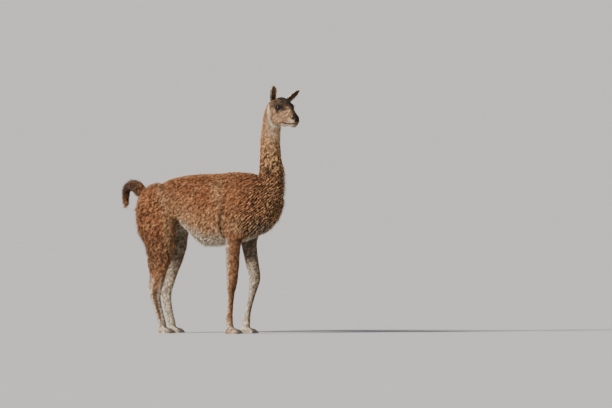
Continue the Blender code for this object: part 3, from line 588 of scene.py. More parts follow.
# %% [markdown]
# ## The body's skin
# Trunk, neck, tail and legs are shells over their stations, and balls stand for the large muscles of
# shoulder, elbow, hip and knee. The toes are two small shells on each foot.

# %% Shells of the body
BODY_VOXEL = 0.006
FOOT_ASIDE = 0.099


def leg_rows(kind, side):
    rows = FORELEG if kind == "fore" else HINDLEG
    return [(r[0], r[1 if side < 0 else 2], side * r[3], r[4], r[5]) for r in rows]


def toe_places(side, x):
    places = []
    for toe in (-side, side):
        turn = Matrix.Rotation(toe * TOE_SPLAY, 4, "Z")
        places.append(Matrix.Translation((x, side * FOOT_ASIDE + toe * FOOT_HALF_GAP, 0)) @ turn)
    return places


def skull_shells():
    pieces = [shell("skull", [upright_ring(*row, 40) for row in curve(SKULL, 5)], HEAD_PLACE)]
    for side in (-1, 1):
        pieces += [muscle(*row, side, HEAD_PLACE) for row in SKULL_MUSCLES]
    return pieces


def neck_shell():
    return shell("neck", [level_ring(*row) for row in curve(NECK, 4)])


def toe_shell(place):
    rings = [upright_ring(f, t, b, (t + b) / 2, w, 20) for f, t, b, w in curve(TOE, 3)]
    return shell("toe", rings, place)


pieces = [shell("trunk", [upright_ring(*row) for row in curve(TRUNK, 4)]), neck_shell()]
pieces += [shell("tail", tail_rings(curve(TAIL, 4)))] + skull_shells()
for side in (-1, 1):
    pieces += [muscle(*row, side) for row in MUSCLES]
    for kind in ("fore", "hind"):
        rows = leg_rows(kind, side)
        pieces.append(shell("leg", [level_ring(*row, 28) for row in curve(rows, 4)]))
        pieces += [toe_shell(place) for place in toe_places(side, rows[-1][1])]
body = eased(melted(pieces, "body", BODY_VOXEL), 10)
print("body skin:", len(body.data.polygons), "faces")

# %% [markdown]
# ## The head
# The head is melted at a finer voxel, because lids, lips and nostrils are only millimetres thick.
# Shallow hollows and swellings are pushed in along the normals. Then ears and lids are joined on,
# and the mouth line, nostrils and eye openings are cut. A last melt rounds all those edges off.

# %% Shells of the head
HEAD_VOXEL, FINE_VOXEL = 0.0025, 0.0013
NAPE_OVERLAP = 0.03
turn_head, inside = HEAD_PLACE.to_3x3(), np.array(HEAD_PLACE.inverted())
nape_point = HEAD_PLACE @ NAPE[0]
nape_way = (turn_head @ NAPE[1]).normalized()
head = eased(melted(skull_shells() + [neck_shell()], "head", HEAD_VOXEL), 40)
head = trimmed(head, nape_point + nape_way * NAPE_OVERLAP, nape_way, True)


def head_axes(points):
    """Points of the body in the head's own forward, left and up."""
    return points @ inside[:3, :3].T + inside[:3, 3]


points, ways = points_of(head.data), points_of(head.data, "normal")
local = head_axes(points)
push = np.zeros(len(points))
for centre, sizes, amount in FACE:
    for side in (-1, 1) if centre[1] else (1,):
        apart = (local - np.array(centre) * (1, side, 1)) / np.array(sizes)
        push += amount * np.clip(1 - (apart**2).sum(1), 0, None) ** 2
set_points(head.data, points + ways * push[:, None])


# %% Eyes, mouth and nostrils as cutters
def eye_place(side):
    """From an eye's own axes, with Z looking out and Y up, to the body's."""
    look = Vector((EYE_LOOK.x, side * EYE_LOOK.y, EYE_LOOK.z))
    level = Vector((0, 0, 1)).cross(look).normalized()
    turn = Matrix((level, look.cross(level), look)).transposed().to_4x4()
    tilt = Matrix.Rotation(EYE_TILT * side, 4, "Z")
    return HEAD_PLACE @ Matrix.Translation((EYE.x, side * EYE.y, EYE.z)) @ turn @ tilt


def lid_line(turn, grow=1.0):
    """Points round the almond between the open lids, in the eye's axes."""
    across = EYE_OPENING[0] * np.cos(turn)
    return across * grow, EYE_OPENING[1] * np.sin(turn) * (1 - 0.25 * np.cos(turn) ** 2) * grow


def opening(side):
    x, y = lid_line(turns(48))
    steps = ((0.75, 0.008), (1.0, 0.018), (1.35, 0.034))
    rings = [np.column_stack([x * k, y * k, np.full(48, z)]) for k, z in steps]
    return shell("opening", rings, eye_place(side))


def met_from(tree, point, way):
    """Where the head is met from outside, coming back along a way in the head's axes."""
    return tree.ray_cast(HEAD_PLACE @ (point + way * 0.1), turn_head @ -way)[0]


MOUTH_BACK, MOUTH_FRONT = 0.042, 0.112


def mouth_blade(tree):
    """A thin wedge that follows the lips along one cheek, round the front and back again."""
    line = curve(MOUTH, 6)
    steps = np.linspace(MOUTH_BACK, MOUTH_FRONT, 14)
    stops = [(f, Vector((0, -1, 0))) for f in steps]
    for turn in np.linspace(-60, 60, 15):
        stops.append((None, Vector((math.cos(math.radians(turn)), math.sin(math.radians(turn)), 0))))
    stops += [(f, Vector((0, 1, 0))) for f in np.linspace(MOUTH_FRONT, MOUTH_BACK, 14)]
    rings = []
    for f, way in stops:
        base = Vector((MOUTH_FRONT if f is None else f, 0, 0))
        base.z = float(np.interp((base + way * 0.02).x, line[:, 0], line[:, 1]))
        surface = HEAD_PLACE.inverted() @ met_from(tree, base, way)
        fade = 1.0 if f is None else min(1.0, 0.35 + (f - MOUTH_BACK) / 0.03)
        half = Vector((0, 0, 0.0040 * fade))
        past = surface + way * 0.012
        rings.append(np.array([surface - way * 0.007 * fade, past + half, past - half]))
    return shell("mouth", rings, HEAD_PLACE)


def nostril(tree, side):
    way = Vector((NOSTRIL_WAY.x, side * NOSTRIL_WAY.y, NOSTRIL_WAY.z))
    met = met_from(tree, Vector((NOSTRIL.x, side * NOSTRIL.y, NOSTRIL.z)), way)
    back = Vector((-0.62, side * 0.30, 0.72))
    back = (back - way * back.dot(way)).normalized()
    turn = Matrix((back, way.cross(back), way)).transposed().to_4x4()
    place = Matrix.Translation(met) @ turn_head.to_4x4() @ turn
    return ball("nostril", (0.0105, 0.0036, 0.0085), place, 24, 16)


# %% Ears
def ear_axes(side):
    root, tip, opens = (Vector(v) for v in EARS[side])
    along = (tip - root).normalized()
    out = (opens - along * opens.dot(along)).normalized()
    return root, tip, along, along.cross(out), out


def ear(side, half=10):
    """A cupped leaf with its root in the head."""
    root, tip, along, across, out = ear_axes(side)
    rows = curve(EAR, 6)
    front, back = [], []
    for t, width, wrap, stand in rows:
        turned = math.radians(wrap)
        radius = width / math.sin(min(turned, math.pi / 2))
        middle = root + along * (tip - root).length * t + out * (0.010 * t * t - stand)
        for j in range(-half, half + 1):
            turn = turned * j / half
            inward = -across * math.sin(turn) + out * math.cos(turn)
            point = middle + out * radius - inward * radius
            thick = 0.0040 * (1 - 0.3 * abs(j / half) ** 3) * (1 - 0.30 * t)
            back.append(point - inward * thick / 2)
            front.append(point + inward * thick / 2)
    wide, total, last = 2 * half + 1, len(back), len(rows) - 1
    faces = []
    for i in range(last):
        for a in range(i * wide, i * wide + wide - 1):
            b = total + a
            faces += [(a, a + 1, a + wide + 1, a + wide), (b, b + wide, b + wide + 1, b + 1)]
        for a in (i * wide, i * wide + wide - 1):
            faces.append((a, a + wide, total + a + wide, total + a))
    for i in (0, last):
        faces += [(a, a + 1, total + a + 1, total + a) for a in range(i * wide, i * wide + wide - 1)]
    return built_shape("ear", [tuple(p) for p in back + front], faces, HEAD_PLACE)


def ear_root(side):
    root, tip, along, across, out = ear_axes(side)
    turn = Matrix((out, across, along)).transposed().to_4x4()
    place = HEAD_PLACE @ Matrix.Translation(root) @ turn
    return ball("root", (0.0162, 0.0162, 0.024), place, 24, 16)


# %% The whole head
SOCKET_GAP = 0.0004
tree = BVHTree.FromObject(head, bpy.context.evaluated_depsgraph_get())
cutters = [mouth_blade(tree)]
for side in (-1, 1):
    cutters.append(ball("socket", (EYE_RADIUS + SOCKET_GAP,) * 3, eye_place(side)))
    cutters += [opening(side), nostril(tree, side)]
grown = [ear(side) for side in EARS] + [ear_root(side) for side in EARS]
grown += [ball("lids", (LID_RADIUS,) * 3, eye_place(side)) for side in (-1, 1)]
head = carved(head, grown, "UNION")
head = carved(head, cutters, "DIFFERENCE")
head = eased(melted([head], "head", FINE_VOXEL), 6)
print("head skin:", len(head.data.polygons), "faces")

# %% [markdown]
# ## One skin
# Head and body come from the same stations, so their cut edges at the nape match. A strip of faces
# bridges the two loops, and the skin has no seam.

# %% Bridge head and body
HALF_TRIANGLES = 92000
HALF_GAP = nape_way * 0.002
head = thinned(trimmed(head, nape_point - HALF_GAP, nape_way, False), HALF_TRIANGLES)
body = trimmed(body, nape_point + HALF_GAP, -nape_way, False)
body = thinned(trimmed(body, Vector((0, 0, 0)), Vector((0, 0, -1)), True), HALF_TRIANGLES)
form = form_of(body.data)
form.from_mesh(head.data)
bmesh.ops.bridge_loops(form, edges=[edge for edge in form.edges if edge.is_boundary])
bmesh.ops.triangulate(form, faces=form.faces)
bmesh.ops.recalc_face_normals(form, faces=form.faces)
print("open edges in the skin:", sum(edge.is_boundary for edge in form.edges))
skin = added("skin", written(form, "skin"))
dropped(head)
dropped(body)
skin.data.shade_smooth()
print("skin:", len(skin.data.polygons), "triangles")

# %% [markdown]
# ## Where the coat changes
# Everything about the coat depends on the place on the body: how deep it is, how it lies, and its
# colour. Each of these is a formula on the points of the skin, so skin and coat always agree.

# %% Parts of the body at a point
HEAD_FROM, EAR_FROM, TAIL_FROM = 1.30, 1.55, 0.84  # heights below which a point is never on that part
ON_EAR = 0.2  # share of the ear's length from which it counts as ear
TAIL_RUN = curve(TAIL, 6)


def column(rows, number):
    return [row[number] for row in rows]


def spot(values, middle, sizes, soft=0.5):
    """1 inside an ellipse, fading to 0 past its edge."""
    apart = np.sqrt(sum(((v - m) / s) ** 2 for v, m, s in zip(values, middle, sizes)))
    return 1 - rise(apart, 1 - soft, 1 + soft)


def between(value, low, high, top, end):
    """Rises from low to high and falls from top to end."""
    return rise(value, low, high) * (1 - rise(value, top, end))


def on_head(points):
    past = (head_axes(points) - np.array(NAPE[0])) @ np.array(NAPE[1])
    return np.where(points[:, 2] > HEAD_FROM, 1 - rise(past, -0.012, 0.012), 0.0)


def on_neck(points, low=1.06, high=1.20):
    return rise(points[:, 2], low, high) * rise(points[:, 0], 0.30, 0.40)


def by_ear(name, points):
    """Points seen from an ear's root: share of its length, distance off its middle, across and out."""
    root, tip, along, across, out = (np.array(v) for v in ear_axes(name))
    local = head_axes(points) - root
    share = local @ along / np.linalg.norm(tip - root)
    off = np.linalg.norm(local - np.outer(share, tip - root), axis=1)
    return share, off, local @ across, local @ out


def ear_width(share):
    return np.interp(share, column(EAR, 0), column(EAR, 1))


def ear_share(points):
    """For each point, how far along the nearer ear it is (below 0 is off the ear)."""
    best = np.full(len(points), -1.0)
    for name in EARS:
        share, off, _, _ = by_ear(name, points)
        mine = (off < ear_width(share) + 0.006) & (share > 0.24) & (points[:, 2] > EAR_FROM)
        best = np.where(mine, share, best)
    return best


def on_tail(points):
    """How much a point is on the tail, and the number of the nearest step along it."""
    apart = np.hypot(points[:, :1] - TAIL_RUN[:, 0], points[:, 2:] - TAIL_RUN[:, 1])
    near = apart.argmin(1)
    close = (apart.min(1) < TAIL_RUN[near, 2] * 1.5 + 0.006) & (points[:, 2] > TAIL_FROM)
    return np.where(close, rise(-points[:, 0], 0.425, 0.475), 0.0), near


def woolly(points, ways):
    """How much of the wool's depth grows at each point."""
    x, y, z = points.T
    fore = 1 - (1 - rise(z, 0.60, 0.72)) * rise(x, 0.12, 0.16) * rise(abs(y), 0.03, 0.06)
    hind = 1 - (1 - rise(z, 0.40, 0.52)) * rise(-x, 0.10, 0.14)
    neck = 1 - 0.75 * rise(z, 1.12, 1.34)
    facing_in = rise(-ways[:, 1] * np.sign(y), -0.1, 0.3)
    low = (1 - rise(z, 0.72, 0.80)) * rise(abs(y), 0.02, 0.05) * facing_in
    return np.where(z < 0.38, 0.0, fore * hind * neck * (1 - low)) * (1 - on_head(points))


def mouth_height(ahead):
    return np.interp(ahead, column(MOUTH, 0), column(MOUTH, 1))


def bare(points):
    """The naked skin of nostrils, nose tip and lips."""
    f, s, u = head_axes(points).T
    nose = spot((f, abs(s), u), (0.134, 0.019, -0.073), (0.010, 0.008, 0.0085), 0.3)
    lips = rise(f, 0.090, 0.110) * (1 - rise(abs(u - mouth_height(f)), 0.0025, 0.0050))
    return np.maximum(nose, lips) * (points[:, 2] > HEAD_FROM)


WOOL_DEPTH, LEG_DEPTH, FACE_DEPTH = 0.0125, 0.0030, 0.0012


def coat_depth(points, ways):
    """How far the skin lies under the tips of the coat."""
    wool = woolly(points, ways)
    low = 1 - rise(points[:, 2], 0.30, 0.42)
    depth = wool * WOOL_DEPTH + (1 - wool) * LEG_DEPTH * (1 - 0.5 * low)
    return blend(depth, FACE_DEPTH * (1 - bare(points)), on_head(points))


# %% Creases behind the elbow and in front of the thigh
CREASES = (
    ((0.212, 0.930), (0.196, 0.860), (0.184, 0.780), (0.180, 0.690)),
    ((-0.150, 0.800), (-0.166, 0.740), (-0.170, 0.660), (-0.172, 0.580)),
)
CREASE_DEPTH, CREASE_WIDTH = 0.008, 0.013


def crease(points):
    """1 along the bottom of each crease, fading to 0 within about 20 mm."""
    x, y, z = points.T
    found = np.zeros(len(points))
    for line in CREASES:
        run = np.array(line)[::-1]
        apart = abs(x - np.interp(z, run[:, 1], run[:, 0]))
        low, high = run[0, 1], run[-1, 1]
        ends = between(z, low - 0.04, low + 0.02, high - 0.04, high + 0.03)
        found = np.maximum(found, np.exp(-((apart / CREASE_WIDTH) ** 2)) * ends)
    return found * rise(abs(y), 0.07, 0.10)


# %% Sink the skin by the coat's depth
points, ways = points_of(skin.data), points_of(skin.data, "normal")
depth = coat_depth(points, ways) + CREASE_DEPTH * crease(points)
depth = np.where(ear_share(points) > 0, 0.0, depth) * rise(points[:, 2], 0.000, 0.012)
set_points(skin.data, points - ways * depth[:, None])

# %% [markdown]
# ## Markings
# A guanaco is rust brown above, with a sandy neck, a dark grey face and crown, and white on the lips,
# throat, belly and insides of the legs. Four masks say how much of each colour shows over the rust;
# umber and black also carry painted shade. Two more say how much painted shade lies in the furrows
# of the fleece, and how much painted shade and highlight its curls get.

# %% Markings at a point
def ragged(points):
    """An uneven wave from -1 to 1, which keeps the edges of the markings from being straight."""
    x, y, z = points.T
    slow = np.sin(x * 41 + np.sin(z * 33) * 1.7) * np.sin(z * 47 + y * 29)
    return 0.5 * slow + 0.5 * np.sin(x * 97 + z * 61 + y * 83)


def markings(points, ways):
    """Shares of sand, cream, umber and black over rust in this order, and painted shade and highlight.
    """
    x, y, z = points.T
    aside, front, up = ways[:, 1] * np.sign(y), ways[:, 0], ways[:, 2]
    wave = ragged(points)
    head_part = on_head(points)
    tail_part, near = on_tail(points)
    more = np.maximum
    # Neck: sandy, with a rusty nape, and a pale throat high up.
    neck = rise(z, 1.00, 1.18) * rise(x, 0.32, 0.42)
    sand = neck * (0.35 + 0.60 * rise(front, -0.85, 0.0))
    cream = neck * rise(z + 0.02 * wave, 1.24, 1.46) * rise(front, -0.4, 0.7) * 0.55
    # Chest: sandy in front, with a dull cream low down between the legs.
    chest = rise(x, 0.34, 0.52) * (1 - neck)
    sand = more(sand, chest * (0.35 + 0.4 * rise(front, 0.1, 0.8)))
    low_chest = rise(x + 0.012 * wave, 0.335, 0.45) * (1 - rise(z + 0.02 * wave, 0.66, 0.82))
    cream = more(cream, low_chest * 0.60)
    # Flank: rust turns to sand, and to cream at the belly, higher up at the fold before the thigh.
    edge = 0.697 + 0.11 * rise(-x, -0.07, 0.18) + 0.020 * wave
    trunk = (z > 0.55) & (x > -0.235) & (x < 0.52)
    leg_fore = (1 - rise(z, 0.66, 0.76)) * rise(abs(y), 0.05, 0.07)
    leg_fore *= between(x, 0.175, 0.20, 0.335, 0.36)
    off_leg = 1 - leg_fore * rise(aside, -0.15, 0.30)
    belly = np.where(trunk, 1 - rise(z, edge - 0.060, edge + 0.035), 0)
    cream = more(cream * off_leg, belly * 0.88 * off_leg)
    side_sand = np.where(trunk, (1 - rise(z, edge + 0.01, edge + 0.22)) * 0.80, 0)
    sand = more(sand, side_sand * (1 - leg_fore))
    # Painted highlight: sandy bands down the ridges of the shoulder blade and the hip.
    ridges = spot((x, z), (0.165 - 0.12 * (z - 0.95), 0.965), (0.034, 0.105), 0.8)
    ridges = ridges + spot((x, z), (-0.235 - 0.35 * (z - 0.9), 0.930), (0.034, 0.120), 0.8)
    sand = more(sand, np.clip(ridges, 0, 1) * rise(abs(y), 0.04, 0.09) * 0.80)
    # Painted shade: darker at the bottom of the creases, and on the upward-facing top of the back.
    back = rise(up, 0.30, 0.85) * (z > 0.90) * (1 - neck) * (1 - rise(x, 0.36, 0.42))
    umber_and_shade = np.maximum.reduce([low_chest * 0.28, back * 0.30, crease(points) * 0.75])
    # Thighs: cream within, rust outside and in front, dark low down, with painted shade on the front.
    behind_flank = rise(-x, 0.10, 0.14)
    inner = (1 - rise(aside, -0.72, -0.25)) * (1 - rise(z, 0.74, 0.86)) * behind_flank
    cream = more(cream, inner * 0.78)
    thigh = behind_flank * rise(aside, -0.45, 0.1)
    no_belly = more(rise(-x, 0.150, 0.175), rise(front, 0.15, 0.50) * rise(-x, 0.10, 0.13))
    cream = cream * (1 - thigh * (1 - rise(z, 0.80, 0.86)) * no_belly)
    sand = more(sand, behind_flank * (1 - rise(z, 0.46, 0.72)) * 0.25)
    umber_and_shade = more(umber_and_shade, thigh * spot((z,), (0.56,), (0.13,), 0.7) * (0.36 + 0.25 * wave))
    umber_and_shade = more(umber_and_shade, 0.34 * thigh * rise(front, 0.2, 0.8) * (1 - rise(z, 0.76, 0.84)))
    # Forelegs: rust outside, cream within and along the back.
    elbow = (z < 0.66) & (x > 0.185) & (x < 0.35) & (abs(y) > 0.055)
    fore_leg = (x > 0.1) & ((z < 0.60) | elbow)
    behind = rise(-front + 0.10 * wave, 0.12, 0.50) * (0.70 + 0.20 * (1 - rise(z, 0.20, 0.50)))
    within = (1 - rise(aside + 0.08 * wave, -0.65, -0.15)) * 0.85
    shin = (0.16 + 0.34 * rise(front + 0.15 * wave, -0.2, 0.6)) * rise(z, 0.06, 0.20)
    cream = np.where(fore_leg, more(within, behind), cream)
    sand = np.where(fore_leg, 0.12 + 0.30 * (1 - rise(z, 0.06, 0.22)), sand)
    umber_and_shade = np.where(fore_leg, shin, umber_and_shade)
    cream = more(cream, np.where(fore_leg, (1 - rise(z, 0.03, 0.13)) * 0.55, 0))
    # Painted shade at the top of the inner legs, under the body, and in the groin before the thighs.
    inside = (1 - rise(aside, -0.5, 0.1)) * between(z, 0.36, 0.56, 0.66, 0.72)
    umber_and_shade = more(umber_and_shade, np.where((x > 0.1) & (z < 0.70), inside * 0.82, 0))
    umber_and_shade = more(umber_and_shade, inside * behind_flank * 0.72)
    # Hind legs: rust down to the hock, then cream with a brown stripe outside.
    hind_leg = (z < 0.46) & (x < 0.0)
    stripe = rise(aside + 0.06 * wave, 0.45, 0.85) * (1 - rise(abs(front - 0.18), 0.16, 0.42))
    stripe = stripe * rise(z, 0.05, 0.12)
    low = 1 - rise(z + 0.02 * wave, 0.26, 0.44)
    cream = np.where(hind_leg, more(cream, low * (0.85 - 0.75 * stripe)), cream)
    sand = np.where(hind_leg, more(sand, 0.60 * low), sand)
    umber_and_shade = more(umber_and_shade, np.where(hind_leg, low * stripe * 0.72, 0))
    # Tail: dark rusty brown above, with an orange curling end.
    along = near / len(TAIL_RUN)
    under = rise(-up * (along < 0.5) + front * (along >= 0.5), 0.25, 0.8)
    dark_end = (0.84 - 0.20 * under) * (1 - 0.85 * rise(along, 0.50, 0.80))
    umber_and_shade = more(umber_and_shade * (1 - tail_part), tail_part * dark_end)
    cream = cream * (1 - tail_part)
    sand = blend(sand, 0.06 * under + 0.22 * rise(along, 0.6, 0.9), tail_part)
    black = tail_part * 0.16 * (1 - 0.6 * under) * (1 - rise(along, 0.45, 0.70))
    # Head: sandy cheeks, a dark crown and bridge, black round the eye, a white line behind the cheek.
    f, s, u = head_axes(points + 0.0022 * wave[:, None]).T
    top = u - np.interp(f, column(SKULL, 0), column(SKULL, 1))
    ahead = rise(f, 0.000, 0.050)
    crown = rise(top, -0.024 + 0.014 * ahead, -0.006 + 0.005 * ahead)
    crown *= rise(f, -0.100, -0.080) * (1 - rise(abs(s), 0.028, 0.046))
    crown *= 1 - 0.30 * spot((f, abs(s)), (0.050, 0.0), (0.045, 0.040), 0.6)
    brow = spot((f, u), (0.012, 0.030), (0.072, 0.036), 0.45)
    eye_ring = spot((f - 0.25 * u, u), (0.012, 0.001), (0.031, 0.020), 0.30)
    tear = spot((f, u), (0.042, -0.008), (0.028, 0.012), 0.7)
    # Painted shadow under the lower lid.
    shadow_under_eye = spot((f, u), (0.006, -0.025), (0.016, 0.014), 0.9)
    tip = rise(f + 0.4 * (u + 0.09), 0.120, 0.140) * (1 - rise(abs(s), 0.008, 0.026))
    tip *= 1 - 0.5 * rise(-u, 0.090, 0.104)
    nose = more(spot((f, abs(s), u), (0.130, 0.020, -0.073), (0.015, 0.014, 0.012), 0.4), tip)
    lips = (1 - rise(abs(u - mouth_height(f)), 0.0028, 0.0075)) * rise(f, 0.030, 0.050)
    corner = spot((f, u), (0.040, -0.100), (0.016, 0.008), 0.7)
    jaw = (1 - rise(u, -0.117, -0.100)) * rise(f, -0.070, -0.040) * (1 - 0.65 * rise(f, 0.085, 0.105))
    muzzle = rise(f + 0.5 * (u + 0.09), 0.076, 0.104) * (1 - rise(u, -0.086, -0.066))
    muzzle *= 0.50 + 0.25 * np.sin(f * 420 + u * 300)
    pale = np.clip(more(jaw * 0.95, muzzle * (1 - nose)), 0, 1)
    dark = np.maximum.reduce([crown * 0.95, eye_ring, tear * 0.62, shadow_under_eye * 0.60, brow * 0.34])
    shade = [brow * 0.88, crown, eye_ring, tear * 0.8, shadow_under_eye * 0.8, corner * 0.7]
    mottle = 0.5 + 0.5 * np.sin(f * 310 + np.sin(u * 190) * 2) * np.sin(u * 270 + s * 150)
    grey = np.clip(0.02 + 0.50 * mottle + np.maximum.reduce(shade), 0, 1)
    sand = blend(sand, 0.85, head_part)
    cream = blend(cream, more(pale, 0.22 * (1 - mottle) * (1 - brow)), head_part)
    umber_and_shade = blend(umber_and_shade, grey * (1 - pale), head_part)
    dark = np.maximum.reduce([dark * (1 - pale), nose * 0.95, lips * 0.90])
    black = blend(black, np.clip(dark, 0, 1), head_part)
    cheek_line = np.interp(u, (-0.140, -0.105, -0.050, 0.030), (-0.046, -0.070, -0.084, -0.081))
    white = (1 - rise(abs(f - cheek_line), 0.003, 0.011)) * between(u, -0.150, -0.120, 0.010, 0.034)
    white *= (z > 1.34) & (x > 0.30)
    throat = between(f, -0.115, -0.090, -0.080, -0.060) * (1 - rise(u, -0.09, -0.04))
    cream = np.maximum.reduce([cream, white, throat * (z > 1.36) * 0.30])
    umber_and_shade, black = umber_and_shade * (1 - white), black * (1 - white)
    # Ears: dark with a white edge.
    ear_part = (ear_share(points) > ON_EAR).astype(float)
    rim = np.zeros(len(points))
    for name in EARS:
        share, apart, across, _ = by_ear(name, points)
        off = across / ear_width(share)
        edges = [rise(-off, 0.45, 0.68), rise(off, 0.74, 0.92), rise(share, 0.90, 0.98)]
        rim = np.where(apart < 0.040, np.maximum.reduce(edges), rim)
    sand, cream = blend(sand, 0.6, ear_part), blend(cream, rim, ear_part)
    umber_and_shade = blend(umber_and_shade, 0.60 * (1 - 0.8 * rim), ear_part)
    black = blend(black, 0.55 * (1 - rim), ear_part)
    # Painted shade in the furrows of the fleece, and how much painted shade and highlight its curls
    # get.
    body = (1 - head_part) * (1 - tail_part) * (1 - ear_part)
    furrow = rise(x - 0.25 * (z - 0.9), 0.27, 0.40) * between(z, 0.62, 0.72, 1.02, 1.22) * body
    haunch = rise(-x, 0.22, 0.34) * between(z, 0.40, 0.5, 0.80, 1.0)
    curl_shading = 0.64 + 0.16 * rise(x, 0.28, 0.42) * (z > 0.62) + 0.16 * haunch + 0.18 * neck
    curl_shading = curl_shading * (1 - 0.6 * rise(z, 1.20, 1.40)) * body + 0.7 * tail_part + 0.1 * ear_part
    curl_shading += head_part * (0.60 - 0.45 * more(pale, white))
    return dict(sand=sand, cream=cream, umber_and_shade=umber_and_shade, black=black, furrow=furrow, curl_shading=curl_shading)


# %% [markdown]
# ## Coat finish
# The masks are attributes on the points. The finish lays the colours over each other, breaks them up
# with noise, and darkens each tuft towards its root, where less light gets in.

# %% Coat and skin finish
RUST, RUST_LIGHT = (0.330, 0.128, 0.052), (0.470, 0.222, 0.104)
OVER_RUST = dict(
    sand=(0.520, 0.305, 0.155), cream=(0.740, 0.650, 0.510),
    umber_and_shade=(0.110, 0.062, 0.036), black=(0.022, 0.016, 0.013),
)


def coat_finish(name):
    finish = Finish(name, Roughness=0.88, Specular_IOR_Level=0.14)
    finish.surface(Sheen_Weight=0.06, Sheen_Roughness=0.5)
    here = finish.place()
    patches = finish.noise(here, 14.0, 4.0, 0.65)
    fine = finish.noise(here, 80.0, 2.0)
    colour = finish.mix(patches.rise(0.30, 0.74), RUST, RUST_LIGHT)
    for mask, over in OVER_RUST.items():
        share = finish.attribute(mask)
        if mask != "black":
            share = (share + (fine - 0.5) * 1.1 * share * (1 - share)).clip()
        colour = finish.mix(share, colour, over)
    strand = finish.noise(finish.attribute("strand", "Vector"), 1.0, 2.0, 0.6)
    # Painted shade between the locks of the fleece: darker between small curls, between streaks that
    # run back and down along the sides, and in slanting furrows at the foot of the neck.
    curls = finish.noise(finish.stretched(here, (1.0, 1.0, 0.75)), 62.0, 2.0, 0.6).rise(0.40, 0.58)
    slant = {"Vector": here, "Angle": 0.55}
    turned = finish.node("ShaderNodeVectorRotate", {"rotation_type": "Y_AXIS"}, slant)
    streaks = finish.stretched(turned, (24.0, 60.0, 95.0))
    streaks = finish.noise(streaks, 1.0, 3.0, 0.6).rise(0.36, 0.62)
    curl_shading = finish.attribute("curl_shading")
    light = 1 - curl_shading * (1 - (curls * 0.60 + streaks * 0.40))
    # Painted shade: dark strokes across the furrows, where the furrow mask is high.
    rows = finish.axis(here, "Z") * 50 - finish.axis(here, "X") * 42
    rows = rows + finish.noise(here, 9.0, 2.0) * 3.6 + finish.noise(here, 50.0, 1.0) * 1.2
    rows = rows.wave().rise(0.12, 0.70)
    light = light * (1 - finish.attribute("furrow") * (0.86 - rows * 1.02))
    # Painted highlight on the tops of curls and streaks, with fine noise and strands of lighter and
    # darker hair.
    strand_tone_and_highlight = fine * 0.30 + strand.rise(0.30, 0.70) * 0.30 + curl_shading * 0.86 * curls * streaks
    light = light * (0.96 + strand_tone_and_highlight)
    # Painted shade towards each tuft's root, and each tuft's tone with its painted light and shade.
    light = light * (0.55 + 0.62 * finish.attribute("tip")) * (0.66 + 0.68 * finish.attribute("tone_and_shade"))
    colour = finish.bright(colour, light)
    return finish.surface(Base_Color=colour, Normal=finish.bump(strand, 0.0012, 0.55))


tuft_finish = coat_finish("coat")
skin_finish = coat_finish("skin under the coat")


def marked(mesh, masks):
    """Keeps numbers or vectors as attributes on the points."""
    for name, values in masks.items():
        values = np.asarray(values, dtype=np.float32)
        kind, what = ("FLOAT_VECTOR", "vector") if values.ndim == 2 else ("FLOAT", "value")
        mesh.attributes.new(name, kind, "POINT").data.foreach_set(what, values.ravel())


# %% [markdown]
# ## How the coat lies
# Hair runs back from the muzzle, down the neck and chest, back and down over the trunk, down the
# legs and along the tail and the ears. The way at each point is a blend of these.

# %% Lie of the coat
EAR_REACH = 0.036


def lie(points, ways):
    x, y, z = points.T
    top = np.clip(ways[:, 2], 0, 1)
    one, none = np.ones(len(points)), np.zeros(len(points))
    flow = np.column_stack([-0.55 - 0.35 * top, 0.45 * top * np.sign(y), -0.85 * (1 - top)])
    legs, chest, neck = 1 - rise(z, 0.55, 0.78), rise(x, 0.34, 0.46), on_neck(points, 1.02, 1.14)
    for ahead, share in ((-0.10, legs), (-0.35, chest), (-0.10, neck)):
        flow = blend(flow, np.column_stack([ahead * one, none, -one]), share[:, None])
    share, near = on_tail(points)
    run = np.gradient(TAIL_RUN, axis=0)[near]
    flow = blend(flow, unit(np.column_stack([run[:, 0], none, run[:, 1]])), share[:, None])
    f, s, u = head_axes(points).T
    turn = np.array(turn_head)
    sides = np.sign(s) * 0.25 * rise(f, -0.02, 0.10)
    face = np.column_stack([-one, sides, -0.35 + 0.27 * (u > 0.02)]) @ turn.T
    flow = blend(flow, face, on_head(points)[:, None])
    share = ear_share(points)
    for name in EARS:
        mine = (share > 0.15) & (by_ear(name, points)[1] < EAR_REACH)
        root, tip = (np.array(v) for v in ear_axes(name)[:2])
        flow[mine] = turn @ (tip - root)
    return unit(flow - ways * (flow * ways).sum(1)[:, None])


# %% [markdown]
# ## A flat map of the body
# The tufts carry one flat map for the colours of the coat. Each part of the
# body is unrolled like a label from a tin: the turn round the part is one side, the way along it
# the other. Every tuft is a small patch on that map, at the place of its root.

